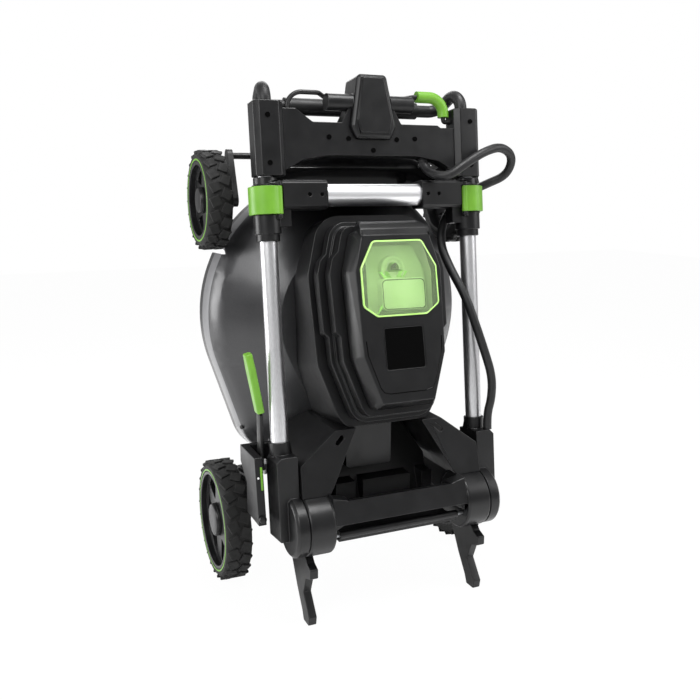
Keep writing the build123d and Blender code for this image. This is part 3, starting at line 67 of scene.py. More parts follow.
# %% Three frames
TALLEST = 397.482
REAR_RADIUS = 114.5
PIVOT_AHEAD, PIVOT_HEIGHT, HANDLE_LEAN = 60, 337, radians(-6.57)
LID_AHEAD, LID_HEIGHT, LID_TILT = 409, 351, radians(-11.9)


def standing(x, y, z):
    return Vector((x, TALLEST / 2 - z, y + REAR_RADIUS)) / 1000


def on_handle(x, v, w):
    ahead = PIVOT_AHEAD + v * cos(HANDLE_LEAN) - w * sin(HANDLE_LEAN)
    return standing(x, ahead, PIVOT_HEIGHT + v * sin(HANDLE_LEAN) + w * cos(HANDLE_LEAN))


def on_lid(x, p, q):
    ahead = LID_AHEAD + p * cos(LID_TILT) - q * sin(LID_TILT)
    return standing(x, ahead, LID_HEIGHT + p * sin(LID_TILT) + q * cos(LID_TILT))


def facing(place, up, out):
    across = up.cross(out)
    return Matrix.Translation(place) @ Matrix((across, up, out)).transposed().to_4x4()


UP_HANDLE = on_handle(0, 1000, 0) - on_handle(0, 0, 0)
OUT_HANDLE = on_handle(0, 0, 1000) - on_handle(0, 0, 0)
OUT_LID = on_lid(0, 0, 1000) - on_lid(0, 0, 0)
print("pivot at", [round(value, 4) for value in on_handle(0, 0, 0)])

# %% [markdown]
# The camera stands to the left of the machine, a little above its middle, and looks slightly down.
# A lens of about 42 mm on the usual 36 mm sensor gives the mild perspective of the picture.

# %% Camera
CAMERA_PLACE = (-0.621, -1.35826, 0.748)
CAMERA_PITCH, CAMERA_TURN = radians(78.37), radians(-23.8)
LENS_MM, SENSOR_MM = 41.7, 36
bpy.ops.object.select_all(action="DESELECT")
bpy.ops.object.camera_add(location=CAMERA_PLACE, rotation=(CAMERA_PITCH, 0, CAMERA_TURN))
camera = bpy.context.object
camera.name = "view_camera"
camera.data.lens = LENS_MM
camera.data.sensor_width = SENSOR_MM
bpy.context.scene.camera = camera
print("camera", [round(value, 3) for value in camera.location])

# %% [markdown]
# The cable carries the switch's wires from the console down to the motor. It is a thick rubber
# sheath, so it turns in wide soft bends. One smooth spline follows the route's points, and the tube
# is that spline with a round section, made into a mesh.

# %% Cable
CABLE_DIAMETER = 0.016
CABLE_POINTS = (
    (0.106, 0.632, -0.032), (0.106, 0.608, -0.032), (0.110, 0.590, 0.004), (0.128, 0.587, 0.022),
    (0.156, 0.606, 0.026), (0.200, 0.630, 0.024), (0.244, 0.642, 0.014), (0.278, 0.626, 0.002),
    (0.276, 0.594, -0.016), (0.246, 0.580, -0.044), (0.208, 0.562, -0.070), (0.172, 0.522, -0.076),
    (0.152, 0.474, -0.062), (0.156, 0.424, -0.032), (0.168, 0.374, -0.002), (0.180, 0.322, 0.010),
    (0.198, 0.270, 0.010), (0.214, 0.222, 0.008), (0.214, 0.180, 0.004), (0.206, 0.150, -0.001),
    (0.206, 0.122, -0.001),
)
route = [on_handle(*(1000 * value for value in point)) for point in CABLE_POINTS]
curve = bpy.data.curves.new("cable_line", "CURVE")
curve.dimensions = "3D"
curve.resolution_u = 10
spline = curve.splines.new("NURBS")
spline.points.add(len(route) - 1)
for point, place in zip(spline.points, route):
    point.co = (*place, 1)
spline.order_u = 3
spline.use_endpoint_u = True
cable = bpy.data.objects.new("power_cable_sheath", curve)
bpy.context.collection.objects.link(cable)
cable_line = [vertex.co.copy() for vertex in bpy.data.meshes.new_from_object(cable).vertices]
curve.bevel_depth = CABLE_DIAMETER / 2
curve.bevel_resolution = 6
curve.use_fill_caps = True
bpy.ops.object.select_all(action="DESELECT")
cable.select_set(True)
bpy.context.view_layer.objects.active = cable
bpy.ops.object.convert(target="MESH")
bpy.ops.object.shade_smooth_by_angle(angle=radians(40))
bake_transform(cable)
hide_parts("power_cable")

# %% [markdown]
# Every finish needs a few shader nodes. One function adds a node with its settings and links, and
# one turns the usual hex colours into the linear values that the shader works in. Patterns are
# sized in millimetres: a noise of 2 mm has a scale of 1 / 0.002 on object coordinates in metres.

# %% Shader helpers
def colour(code):
    parts = [int(code[at:at + 2], 16) / 255 for at in (1, 3, 5)]
    return (*[part / 12.92 if part <= 0.04045 else ((part + 0.055) / 1.055) ** 2.4 for part in parts], 1)


def add(material, kind, inputs=(), **settings):
    made = material.node_tree.nodes.new("ShaderNode" + kind)
    for name, value in settings.items():
        setattr(made, name, value)
    for name, value in dict(inputs).items():
        if isinstance(value, bpy.types.NodeSocket):
            material.node_tree.links.new(value, made.inputs[name])
        else:
            made.inputs[name].default_value = value
    return made


def start_finish(name):
    material = bpy.data.materials.new(name)
    material.use_nodes = True
    material.node_tree.nodes.clear()
    return material, add(material, "TexCoord").outputs["Object"]


def blotches(material, where, size_mm, low, high, shades):
    noise = add(material, "TexNoise", {"Vector": where, "Scale": 1000 / size_mm, "Detail": 3.0})
    ramp = add(material, "ValToRGB", {"Fac": noise.outputs["Fac"]})
    ramp.color_ramp.elements[0].position, ramp.color_ramp.elements[1].position = low, high
    for stop, shade in zip(ramp.color_ramp.elements, shades):
        stop.color = shade if isinstance(shade, tuple) else (shade, shade, shade, 1)
    return ramp.outputs["Color"]


def end_finish(material, shader):
    add(material, "OutputMaterial", {"Surface": shader.outputs[0]})
    print("finish", material.name, len(material.node_tree.nodes), "nodes")
    return material


# %% [markdown]
# Most of the machine is moulded ABS in black, with a fine spark-eroded grain that scatters the
# light. The grain is about 0.5 mm on the real part; it is drawn at 1.2 mm so that it shows. Slow
# blotches of roughness are what handling leaves on such a surface.

# %% Black ABS
black_abs, where = start_finish("black_abs_grained")
grain = add(black_abs, "TexNoise", {"Vector": where, "Scale": 1000 / 1.2, "Detail": 2.0})
bump = add(black_abs, "Bump", {"Height": grain.outputs["Fac"], "Strength": 0.12, "Distance": 0.0004})
shader = add(black_abs, "BsdfPrincipled", {
    "Base Color": blotches(black_abs, where, 60, 0.35, 0.7, (colour("#0B0B0C"), colour("#111112"))),
    "Roughness": blotches(black_abs, where, 25, 0.3, 0.75, (0.3, 0.4)),
    "Normal": bump.outputs["Normal"], "IOR": 1.53, "Specular IOR Level": 0.3})
end_finish(black_abs, shader)

# %% [markdown]
# The front hood is polished ABS. A polished mould leaves hardly any grain, only a very long wave
# where the wall shrank, so highlights run nearly unbroken. The lid's plate is a darker film of the
# same gloss, and hardly mirrors at all from the front. The same near-black film is also laid as
# painted shade in the screws' pits and along the lid's groove.

# %% Gloss black ABS
gloss_black, where = start_finish("black_abs_polished")
wave = add(gloss_black, "TexNoise", {"Vector": where, "Scale": 1000 / 45, "Detail": 1.0})
bump = add(gloss_black, "Bump", {"Height": wave.outputs["Fac"], "Strength": 0.05, "Distance": 0.002})
shader = add(gloss_black, "BsdfPrincipled", {
    "Base Color": colour("#070708"),
    "Roughness": blotches(gloss_black, where, 12, 0.4, 0.8, (0.1, 0.17)),
    "Normal": bump.outputs["Normal"], "IOR": 1.53, "Specular IOR Level": 0.4})
end_finish(gloss_black, shader)

# This film is the plate's own black, and also painted shade in screw pits and the lid's groove.
plate_black_and_shade, where = start_finish("black_film_plate_and_painted_shade")
shader = add(plate_black_and_shade, "BsdfPrincipled", {
    "Base Color": colour("#030303"),
    "Roughness": blotches(plate_black_and_shade, where, 8, 0.4, 0.8, (0.14, 0.2)), "Specular IOR Level": 0.08})
end_finish(plate_black_and_shade, shader)

# %% [markdown]
# The deck is pressed steel under grey enamel with metal flake. Flakes of about 0.3 mm twinkle in
# the real paint; here they are drawn at 1.5 mm as small shifts of tone below a clear coat. A lighter
# stripe is sprayed round the skirt, 56 to 88 mm above the ground as the machine mows. It is partly
# the skirt's own light stripe and partly a painted highlight, where the skirt catches the light from
# the left. Height above the ground lies along y here, so one comparison with y finds the stripe.

# %% Deck enamel
deck_enamel, where = start_finish("grey_flake_enamel")
flake = blotches(deck_enamel, where, 1.5, 0.35, 0.7, (colour("#28282A"), colour("#323233")))
level = add(deck_enamel, "SeparateXYZ", {"Vector": where}).outputs["Y"]
LIT_STRIPE_MIDDLE, LIT_STRIPE_HALF = TALLEST / 2000 - 0.072, 0.016
# The lighter stripe is partly the skirt's own stripe and partly painted highlight of the lit skirt.
stripe_and_highlight = add(deck_enamel, "Math", {0: level, 1: LIT_STRIPE_MIDDLE, 2: LIT_STRIPE_HALF}, operation="COMPARE")
enamel_and_highlight = add(deck_enamel, "Mix", {0: stripe_and_highlight.outputs[0], 6: flake, 7: colour("#757577")}, data_type="RGBA")
peel = add(deck_enamel, "TexNoise", {"Vector": where, "Scale": 1000 / 5, "Detail": 1.0})
bump = add(deck_enamel, "Bump", {"Height": peel.outputs["Fac"], "Strength": 0.03, "Distance": 0.0003})
shader = add(deck_enamel, "BsdfPrincipled", {
    "Base Color": enamel_and_highlight.outputs[2], "Metallic": 0.45,
    "Roughness": blotches(deck_enamel, where, 30, 0.3, 0.7, (0.34, 0.42)),
    "Normal": bump.outputs["Normal"], "Coat Weight": 0.35, "Coat Roughness": 0.2})
end_finish(deck_enamel, shader)

# %% [markdown]
# Levers, the bail's sleeve and the height grip are lime green ABS, coloured all through and moulded
# in a satin tool. The colour is even, with a faint drift of tone from the flow of the melt.

# %% Green ABS
green_abs, where = start_finish("lime_abs_satin")
grain = add(green_abs, "TexNoise", {"Vector": where, "Scale": 1000 / 1.0, "Detail": 2.0})
bump = add(green_abs, "Bump", {"Height": grain.outputs["Fac"], "Strength": 0.06, "Distance": 0.0003})
shader = add(green_abs, "BsdfPrincipled", {
    "Base Color": blotches(green_abs, where, 35, 0.3, 0.7, (colour("#588A22"), colour("#64962C"))),
    "Roughness": blotches(green_abs, where, 14, 0.3, 0.7, (0.34, 0.42)),
    "Normal": bump.outputs["Normal"], "IOR": 1.53, "Specular IOR Level": 0.35})
end_finish(green_abs, shader)

# %% [markdown]
# The battery's case is pale grey ABS, seen only through the window, where the tint turns it green.

# %% Grey ABS
grey_abs, where = start_finish("grey_abs_satin")
shader = add(grey_abs, "BsdfPrincipled", {
    "Base Color": blotches(grey_abs, where, 40, 0.3, 0.7, (colour("#CFD1CA"), colour("#DCDED7"))),
    "Roughness": blotches(grey_abs, where, 15, 0.3, 0.7, (0.4, 0.5)), "IOR": 1.53})
end_finish(grey_abs, shader)

# %% [markdown]
# The window over the battery is clear polycarbonate, tinted green. It lets most light through and
# the battery shows as soft shapes behind it. Light passes the tint on its way in and again on its way
# out, so the tint is mixed pale, and a low index keeps the shapes behind the pane in their places.

# %% Green window
green_pane, where = start_finish("green_polycarbonate")
wave = add(green_pane, "TexNoise", {"Vector": where, "Scale": 1000 / 30, "Detail": 1.0})
bump = add(green_pane, "Bump", {"Height": wave.outputs["Fac"], "Strength": 0.06, "Distance": 0.002})
shader = add(green_pane, "BsdfPrincipled", {
    "Base Color": blotches(green_pane, where, 40, 0.3, 0.7, (colour("#D3EEBB"), colour("#DCF3C7"))),
    "Roughness": 0.06, "Normal": bump.outputs["Normal"], "IOR": 1.15, "Transmission Weight": 0.9})
end_finish(green_pane, shader)

# %% [markdown]
# The handle's tubes are drawn aluminium, brushed along their length and clear anodised. Brushing
# leaves fine lines along the tube: noise stretched forty times along it shows them. The crossbar
# lies across the machine, so its lines run along x. Its copy is also painted lighter than the tubes:
# that is a painted highlight for the light the crossbar catches from the lamps above.

# %% Brushed aluminium
LINE_WIDE_MM, LINE_LONG_MM = 0.9, 36


def brushed(name, along, dark, light):
    metal, where = start_finish(name)
    fine = [1000 / LINE_WIDE_MM] * 3
    fine[along] = 1000 / LINE_LONG_MM
    lines = add(metal, "Mapping", {"Vector": where, "Rotation": (HANDLE_LEAN, 0, 0), "Scale": fine})
    noise = add(metal, "TexNoise", {"Vector": lines.outputs["Vector"], "Scale": 1.0, "Detail": 2.0})
    bump = add(metal, "Bump", {"Height": noise.outputs["Fac"], "Strength": 0.05, "Distance": 0.0002})
    shade = add(metal, "ValToRGB", {"Fac": noise.outputs["Fac"]})
    shade.color_ramp.elements[0].position, shade.color_ramp.elements[1].position = 0.3, 0.7
    shade.color_ramp.elements[0].color = colour(dark)
    shade.color_ramp.elements[1].color = colour(light)
    shader = add(metal, "BsdfPrincipled", {
        "Base Color": shade.outputs["Color"], "Metallic": 1.0, "Roughness": 0.34,
        "Normal": bump.outputs["Normal"]})
    return end_finish(metal, shader)


tube_metal = brushed("aluminium_brushed_lengthways", 2, "#C6C6C8", "#D8D8DA")
# The crossbar's lighter tones are a painted highlight on the same aluminium.
bar_metal_painted_lighter = brushed("aluminium_brushed_across_painted_lighter", 0, "#E2E2E4", "#F0F0F2")

# %% [markdown]
# Pins, the blade's bolt and the motor are zinc-plated steel. Plating leaves soft grey clouds a few
# millimetres wide and a dull shine. The axles, the height lever, the bail and the blade are the same
# steel under black paint, a little uneven in tone.

# %% Steel
zinc_steel, where = start_finish("steel_zinc_plated")
shader = add(zinc_steel, "BsdfPrincipled", {
    "Base Color": blotches(zinc_steel, where, 7, 0.3, 0.7, (colour("#8E9092"), colour("#A9ABAD"))),
    "Metallic": 1.0, "Roughness": blotches(zinc_steel, where, 4, 0.3, 0.7, (0.32, 0.45))})
end_finish(zinc_steel, shader)

black_steel, where = start_finish("steel_black_paint")
shader = add(black_steel, "BsdfPrincipled", {
    "Base Color": blotches(black_steel, where, 18, 0.45, 0.75, (colour("#0C0C0D"), colour("#191919"))),
    "Roughness": blotches(black_steel, where, 9, 0.3, 0.7, (0.35, 0.5)), "Specular IOR Level": 0.35})
end_finish(black_steel, shader)

# %% [markdown]
# Two rubbers are left: the tyres, moulded with a dull gritty skin, and the smooth sheath of the
# cable, grip and boot, which has a soft sheen.

# %% Rubber
tyre_rubber, where = start_finish("tyre_rubber_moulded")
grit = add(tyre_rubber, "TexNoise", {"Vector": where, "Scale": 1000 / 1.6, "Detail": 3.0})
bump = add(tyre_rubber, "Bump", {"Height": grit.outputs["Fac"], "Strength": 0.2, "Distance": 0.0005})
shader = add(tyre_rubber, "BsdfPrincipled", {
    "Base Color": blotches(tyre_rubber, where, 22, 0.3, 0.75, (colour("#0C0C0C"), colour("#151514"))),
    "Roughness": blotches(tyre_rubber, where, 10, 0.3, 0.7, (0.62, 0.8)),
    "Normal": bump.outputs["Normal"], "Specular IOR Level": 0.35})
end_finish(tyre_rubber, shader)

soft_rubber, where = start_finish("soft_rubber_sheath")
skin = add(soft_rubber, "TexNoise", {"Vector": where, "Scale": 1000 / 2.0, "Detail": 2.0})
bump = add(soft_rubber, "Bump", {"Height": skin.outputs["Fac"], "Strength": 0.1, "Distance": 0.0004})
shader = add(soft_rubber, "BsdfPrincipled", {
    "Base Color": blotches(soft_rubber, where, 30, 0.3, 0.7, (colour("#101011"), colour("#181819"))),
    "Roughness": blotches(soft_rubber, where, 12, 0.3, 0.7, (0.4, 0.52)),
    "Normal": bump.outputs["Normal"], "Specular IOR Level": 0.35})
end_finish(soft_rubber, shader)

# %% [markdown]
# Each slot of the record now has its finish. The frame's own solids take theirs by slot first, so
# that nothing is left bare. Pieces that stand for a solid follow below.

# %% Dress the frame
finish_of = {"deck_paint": deck_enamel, "black_plastic": black_abs, "gloss_black": gloss_black,
             "green_plastic": green_abs, "window_plastic": green_pane, "tube_aluminium": tube_metal,
             "plain_steel": zinc_steel, "black_steel": black_steel, "tyre_rubber": tyre_rubber,
             "soft_rubber": soft_rubber, "grey_plastic": grey_abs}


def dress(piece, material):
    piece.data.materials.clear()
    piece.data.materials.append(material)


for node, solid in nodes.items():
    dress(solid, finish_of[slot_of[node]])
dress(nodes["crossbar"], bar_metal_painted_lighter)
dress(cable, soft_rubber)
print("dressed", len(nodes), "solids")

# %% [markdown]
# A moulding never has a knife edge: its corners are rounded by a millimetre or two, and each of
# them catches a line of light. So most solids are copied, their loose triangles merged and flat
# ones joined, and every edge sharper than 30 degrees gets a small bevel. The deck and the hood curve
# everywhere, so they keep their triangles. Normals weighted by area then shade the big faces evenly.
# The copy stands for the solid, which stays in the simulation. Hub caps are grained, not polished.

# %% Rounded mouldings
def pick(piece):
    bpy.ops.object.select_all(action="DESELECT")
    piece.select_set(True)
    bpy.context.view_layer.objects.active = piece


def settle(piece, body, slot, material=None):
    dress(piece, material or finish_of[slot])
    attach(piece, body)


CURVED = ("deck_shell", "front_hood")
SAME_POINT, SLIVER = 0.00001, 0.0003
FLAT, SHARP, SMOOTH = radians(0.5), radians(30), radians(35)


def moulding(node, round_mm):
    piece = bpy.data.objects.new(node + "_moulding", nodes[node].data.copy())
    bpy.context.collection.objects.link(piece)
    pick(piece)
    bpy.ops.object.mode_set(mode="EDIT")
    bpy.ops.mesh.select_all(action="SELECT")
    bpy.ops.mesh.remove_doubles(threshold=SAME_POINT)
    if node not in CURVED:
        bpy.ops.mesh.dissolve_limited(angle_limit=FLAT)
        bpy.ops.mesh.dissolve_degenerate(threshold=SLIVER)
    bpy.ops.object.mode_set(mode="OBJECT")
    edge = piece.modifiers.new("edge_round", "BEVEL")
    edge.width = round_mm / 1000
    edge.segments = 2
    edge.limit_method = "ANGLE"
    edge.angle_limit = SHARP
    edge.use_clamp_overlap = False
    bpy.ops.object.modifier_apply(modifier=edge.name)
    bpy.ops.object.shade_smooth_by_angle(angle=SMOOTH)
    even = piece.modifiers.new("even_shading", "WEIGHTED_NORMAL")
    even.keep_sharp = True
    bpy.ops.object.modifier_apply(modifier=even.name)
    settle(piece, body_of[node], slot_of[node])
    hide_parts(node)
    return piece


ROUND_MM = {"battery_lid": 1.6, "battery_bay": 1.2, "motor_housing": 1.5, "rear_frame": 1.8,
            "front_hood": 2.0, "switch_box": 1.5, "console_web": 1.5, "height_quadrant": 1.2,
            "height_lever_grip": 1.2, "discharge_chute": 1.2, "deck_shell": 0.8}
for side in ("left", "right"):
    ROUND_MM.update({f"{side}_cheek": 1.5, f"{side}_storage_foot": 1.5, f"{side}_handle_bracket": 1.5,
                     f"{side}_tube_clamp": 1.0, f"{side}_flip_lever": 1.0,
                     f"{side}_console_column": 1.5, f"front_{side}_rim": 1.0, f"rear_{side}_rim": 1.2,
                     f"front_{side}_hub_cap": 1.0, f"rear_{side}_hub_cap": 1.2})
mouldings = {node: moulding(node, width) for node, width in ROUND_MM.items()}
for node, piece in mouldings.items():
    if node.endswith("hub_cap"):
        dress(piece, black_abs)
print("mouldings", len(mouldings), sum(len(piece.data.polygons) for piece in mouldings.values()), "faces")

# %% [markdown]
# Tyres, bands and the cable's boot are round, so each is drawn as a section, point by point, and
# spun round its axis as on a lathe. The right side's wheels are the left's in a mirror, which turns a
# mesh inside out, so its normals are found anew.

# %% Drawing and spinning
def draw_line(name, points, closed=False):
    bpy.ops.object.select_all(action="DESELECT")
    bpy.ops.mesh.primitive_plane_add(size=0.001, location=(0, 0, 0))
    piece = bpy.context.object
    piece.name = name
    bpy.ops.object.mode_set(mode="EDIT")
    bpy.ops.mesh.select_mode(type="VERT")
    bpy.ops.mesh.select_all(action="SELECT")
    bpy.ops.mesh.merge(type="CENTER")
    bpy.ops.transform.translate(value=points[0])
    for before, after in zip(points, points[1:]):
        bpy.ops.mesh.extrude_vertices_move(TRANSFORM_OT_translate={"value": Vector(after) - Vector(before)})
    if closed:
        bpy.ops.mesh.select_all(action="SELECT")
        bpy.ops.mesh.edge_face_add()
        bpy.ops.mesh.delete(type="ONLY_FACE")
        bpy.ops.mesh.select_all(action="SELECT")
    return piece


def spin_up(piece, centre, axis, steps):
    bpy.ops.mesh.select_all(action="SELECT")
    bpy.ops.mesh.spin(steps=steps, angle=2 * pi, center=centre, axis=axis)
    bpy.ops.mesh.select_all(action="SELECT")
    bpy.ops.mesh.remove_doubles(threshold=2 * SAME_POINT)
    bpy.ops.mesh.normals_make_consistent(inside=False)
    bpy.ops.object.mode_set(mode="OBJECT")
    pick(piece)
    bpy.ops.object.shade_smooth_by_angle(angle=SMOOTH)
    return piece


def mirror(piece):
    pick(piece)
    bpy.ops.object.mode_set(mode="EDIT")
    bpy.ops.mesh.select_all(action="SELECT")
    bpy.ops.transform.resize(value=(-1, 1, 1), center_override=(0, 0, 0))
    bpy.ops.mesh.normals_make_consistent(inside=False)
    bpy.ops.object.mode_set(mode="OBJECT")


def join(pieces):
    pick(pieces[0])
    for piece in pieces[1:]:
        piece.select_set(True)
    bpy.ops.object.join()
    return bpy.context.object


print("lathe ready for", len([node for node in nodes if node.endswith("_tyre")]), "tyres")

# %% [markdown]
# Each wheel wears a solid rubber tyre with a coarse tread: slanting lugs in two rows that wrap over
# the shoulders. The carcass is spun from its section. One lug is shaped from a cube, then the spin
# tool repeats it round the wheel, once for each row, with the outer row set off by half a step.

# %% Tyres
TREAD_DEEP, LUG_TALL, LUG_ROUND = 0.0034, 0.0056, 0.0014
LUG_SLANT = radians(24)
LUG_MIDDLE, LUG_WIDE, LUG_FILLS = 0.225, 0.4, 0.7
SHOULDER_WIDE, CORNER_WIDE, CORNER_DROP = 0.010, 0.004, 0.003
AROUND = 72


def tread_row(centre, radius, width, side, lugs, half_step):
    bpy.ops.object.select_all(action="DESELECT")
    top = centre + Vector((side * width * LUG_MIDDLE, 0, radius - TREAD_DEEP))
    length = LUG_FILLS * 2 * pi * radius / lugs
    bpy.ops.mesh.primitive_cube_add(size=1, location=top)
    lug = bpy.context.object
    bpy.ops.object.transform_apply(location=True, rotation=False, scale=False)
    bpy.ops.object.mode_set(mode="EDIT")
    bpy.ops.mesh.select_all(action="SELECT")
    bpy.ops.transform.resize(value=(width * LUG_WIDE, length, LUG_TALL), center_override=top)
    bpy.ops.transform.rotate(value=LUG_SLANT * side, orient_axis="Z", center_override=top)
    bpy.ops.mesh.bevel(offset=LUG_ROUND, segments=2, affect="EDGES")
    bpy.ops.mesh.select_all(action="SELECT")
    if half_step:
        bpy.ops.transform.rotate(value=pi / lugs, orient_axis="X", center_override=centre)
    bpy.ops.mesh.spin(steps=lugs - 1, angle=2 * pi * (lugs - 1) / lugs, dupli=True, center=centre,
                      axis=(1, 0, 0))
    bpy.ops.object.mode_set(mode="OBJECT")
    return lug


def make_tyre(name, centre, radius, rim_radius, width, lugs):
    low, half = radius - TREAD_DEEP, width / 2
    right = [(half - SHOULDER_WIDE, low), (half - CORNER_WIDE, low - CORNER_DROP),
             (half, (radius + rim_radius) / 2), (half, rim_radius)]
    section = [(-x, r) for x, r in reversed(right)] + right
    points = [centre + Vector((x, 0, r)) for x, r in section]
    carcass = spin_up(draw_line(name, points, closed=True), centre, (1, 0, 0), AROUND)
    rows = [tread_row(centre, radius, width, side, lugs, side < 0) for side in (-1, 1)]
    tyre = join([carcass] + rows)
    tyre.name = name
    return tyre


wheel_centre = {"rear": standing(-250, 0, REAR_RADIUS), "front": standing(-252, 603, 89)}
tyre_size = {"rear": {"radius": 0.1145, "rim_radius": 0.093, "width": 0.048, "lugs": 26},
             "front": {"radius": 0.089, "rim_radius": 0.069, "width": 0.044, "lugs": 22}}
tyres = {}
for end in ("rear", "front"):
    tyre = make_tyre(f"{end}_left_tyre_tread", wheel_centre[end], **tyre_size[end])
    twin = bpy.data.objects.new(f"{end}_right_tyre_tread", tyre.data.copy())
    bpy.context.collection.objects.link(twin)
    mirror(twin)
    for side, piece in (("left", tyre), ("right", twin)):
        settle(piece, f"{end}_{side}_wheel", "tyre_rubber")
        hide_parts(f"{end}_{side}_tyre")
        tyres[f"{end}_{side}"] = piece
print("tyres", {name: len(piece.data.polygons) for name, piece in tyres.items()})

# %% [markdown]
# A thin green band runs round the outer wall of each tyre, just outside the rim. On the real wheel
# it is painted into a shallow groove; here a flat ring is spun and set half into the rubber.

# %% Green bands
WALL_X = -0.274
BAND_INSIDE = {"rear": 0.0945, "front": 0.0705}
BAND_SECTION = ((-0.0010, 0), (0.0002, 0), (0.0005, 0.0006), (0.0005, 0.0024), (0.0002, 0.003),
                (-0.0010, 0.003))


def make_band(name, centre, inside):
    points = [Vector((WALL_X - x, centre.y, centre.z + (inside + r))) for x, r in BAND_SECTION]
    return spin_up(draw_line(name, points, closed=True), centre, (1, 0, 0), AROUND)


for end, inside in BAND_INSIDE.items():
    for side in ("left", "right"):
        band = make_band(f"{end}_{side}_band", wheel_centre[end], inside)
        if side == "right":
            mirror(band)
        settle(band, f"{end}_{side}_wheel", "green_plastic")

# %% [markdown]
# Screws hold the console's halves and the crossbar's sockets together. Each sits in a small round
# pit. One is shaped from a cylinder by two insets and two extrusions, then copied to every place and
# turned to face out of its panel. The heads are black screws; the near-black film on the pit's walls
# and floor is painted shade.

# %% Screws
FACES_OUT = 0.9


def select_faces(piece, test):
    bpy.ops.object.mode_set(mode="OBJECT")
    for thing in (*piece.data.polygons, *piece.data.edges, *piece.data.vertices):
        thing.select = False
    chosen = [face for face in piece.data.polygons if test(face)]
    for face in chosen:
        face.select = True
    bpy.ops.object.mode_set(mode="EDIT")
    bpy.ops.mesh.select_mode(type="FACE")
    return len(chosen)


def push(depth):
    bpy.ops.mesh.extrude_region_move(TRANSFORM_OT_translate={"value": (0, 0, depth)})


SCREW_RADIUS, SCREW_DEEP = 0.0042, 0.0024
PIT_WALL, PIT_DEEP = 0.0006, 0.0009
GAP_WIDE, HEAD_TALL = 0.0016, 0.0004
bpy.ops.object.select_all(action="DESELECT")
bpy.ops.mesh.primitive_cylinder_add(vertices=20, radius=SCREW_RADIUS, depth=SCREW_DEEP, location=(0, 0, 0))
screw = bpy.context.object
screw.name = "pit_screw"
select_faces(screw, lambda face: face.normal.z > FACES_OUT)
bpy.ops.mesh.inset(thickness=PIT_WALL, depth=0)
push(-PIT_DEEP)
bpy.ops.mesh.inset(thickness=GAP_WIDE, depth=0)
push(HEAD_TALL)
bpy.ops.object.mode_set(mode="OBJECT")
bpy.ops.object.shade_smooth_by_angle(angle=SMOOTH)


def copies(pattern, name, places):
    made = []
    for place in places:
        twin = bpy.data.objects.new(name, pattern.data.copy())
        bpy.context.collection.objects.link(twin)
        twin.data.transform(place)
        made.append(twin)
    return join(made)


def both_sides(places):
    return [(side * x, v, w) for side in (-1, 1) for x, v, w in places]


COLUMN_W, BOX_W, SOCKET_W = -5.9, -14.9, -10.3
screw_places = {
    ("console_screws", "handle_upper"): both_sides((
        (192, 688, COLUMN_W), (192, 611, COLUMN_W), (82, 656, BOX_W), (46, 654, BOX_W))) + [(0, 635, BOX_W)],
    ("socket_screws", "handle_lower"): both_sides(((102, 560, SOCKET_W), (124, 560, SOCKET_W)))}
for (name, body), places in screw_places.items():
    screws = copies(screw, name, [facing(on_handle(*place), UP_HANDLE, OUT_HANDLE) for place in places])
    # Heads and pits take the near-black film: black screws, with painted shade in the pits.
    settle(screws, body, "black_plastic", plate_black_and_shade)
    print(name, len(places))
bpy.data.objects.remove(screw)

# %% [markdown]
# Where the cable leaves the console, a rubber boot keeps it from kinking. It tapers towards the cable
# and has rings cut into it, so that it bends evenly. Its section is drawn and spun round the cable.

# %% Cable boot
BOOT = ((656, 0), (656, 11), (636, 11), (635, 9.6), (632, 9.5), (631, 10.5), (627, 10.3), (626, 9.2),
        (623, 9.1), (622, 10.0), (618, 9.8), (617, 8.8), (614, 8.7), (613, 9.5), (609, 9.2), (608, 8.1),
        (632, 8.1), (632, 0))
BOOT_X, BOOT_V, BOOT_W = (1000 * value for value in CABLE_POINTS[0])
boot = draw_line("cable_boot_ribbed", [on_handle(BOOT_X, v, BOOT_W + r) for v, r in BOOT])
boot = spin_up(boot, on_handle(BOOT_X, BOOT_V, BOOT_W), UP_HANDLE, 32)
settle(boot, "handle_upper", "soft_rubber")
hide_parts("cable_boot")
print("boot", len(boot.data.polygons), "faces")

# %% [markdown]
# The window's edge gathers light and shows as a pale rim; here that glow is painted, as a pale green
# finish on the rim's faces. Below it a dark plate lies in a recess of the lid. The rim is an inset of
# the window's own top face, and the plate is the recess floor with another finish. Both are found by
# their height above the lid's seat.

# %% Lid details
# The pale green is painted glow for the window's rim; the battery's dial takes it too.
rim_glow_and_dial, where = start_finish("pale_green_rim_glow_and_dial")
shader = add(rim_glow_and_dial, "BsdfPrincipled", {
    "Base Color": blotches(rim_glow_and_dial, where, 20, 0.3, 0.7, (colour("#A3D36C"), colour("#B4DF85"))),
    "Roughness": 0.22, "IOR": 1.5})
end_finish(rim_glow_and_dial, shader)

WINDOW_TOP, LID_TOP, PLATE_TOP = 19.5, 18, 16.8
RIM_WIDE, NEAR = 0.0022, 0.0004


def above(face, height):
    return (face.center - on_lid(0, 0, height)).dot(OUT_LID)


def faces_up(face):
    return face.normal.dot(OUT_LID) > 0.99


window = moulding("lid_window", 0.5)
window.data.materials.append(rim_glow_and_dial)
tops = select_faces(window, lambda face: faces_up(face) and above(face, WINDOW_TOP) > -NEAR)
bpy.ops.mesh.inset(thickness=RIM_WIDE, depth=0)
bpy.ops.mesh.select_all(action="INVERT")
bpy.ops.object.mode_set(mode="OBJECT")
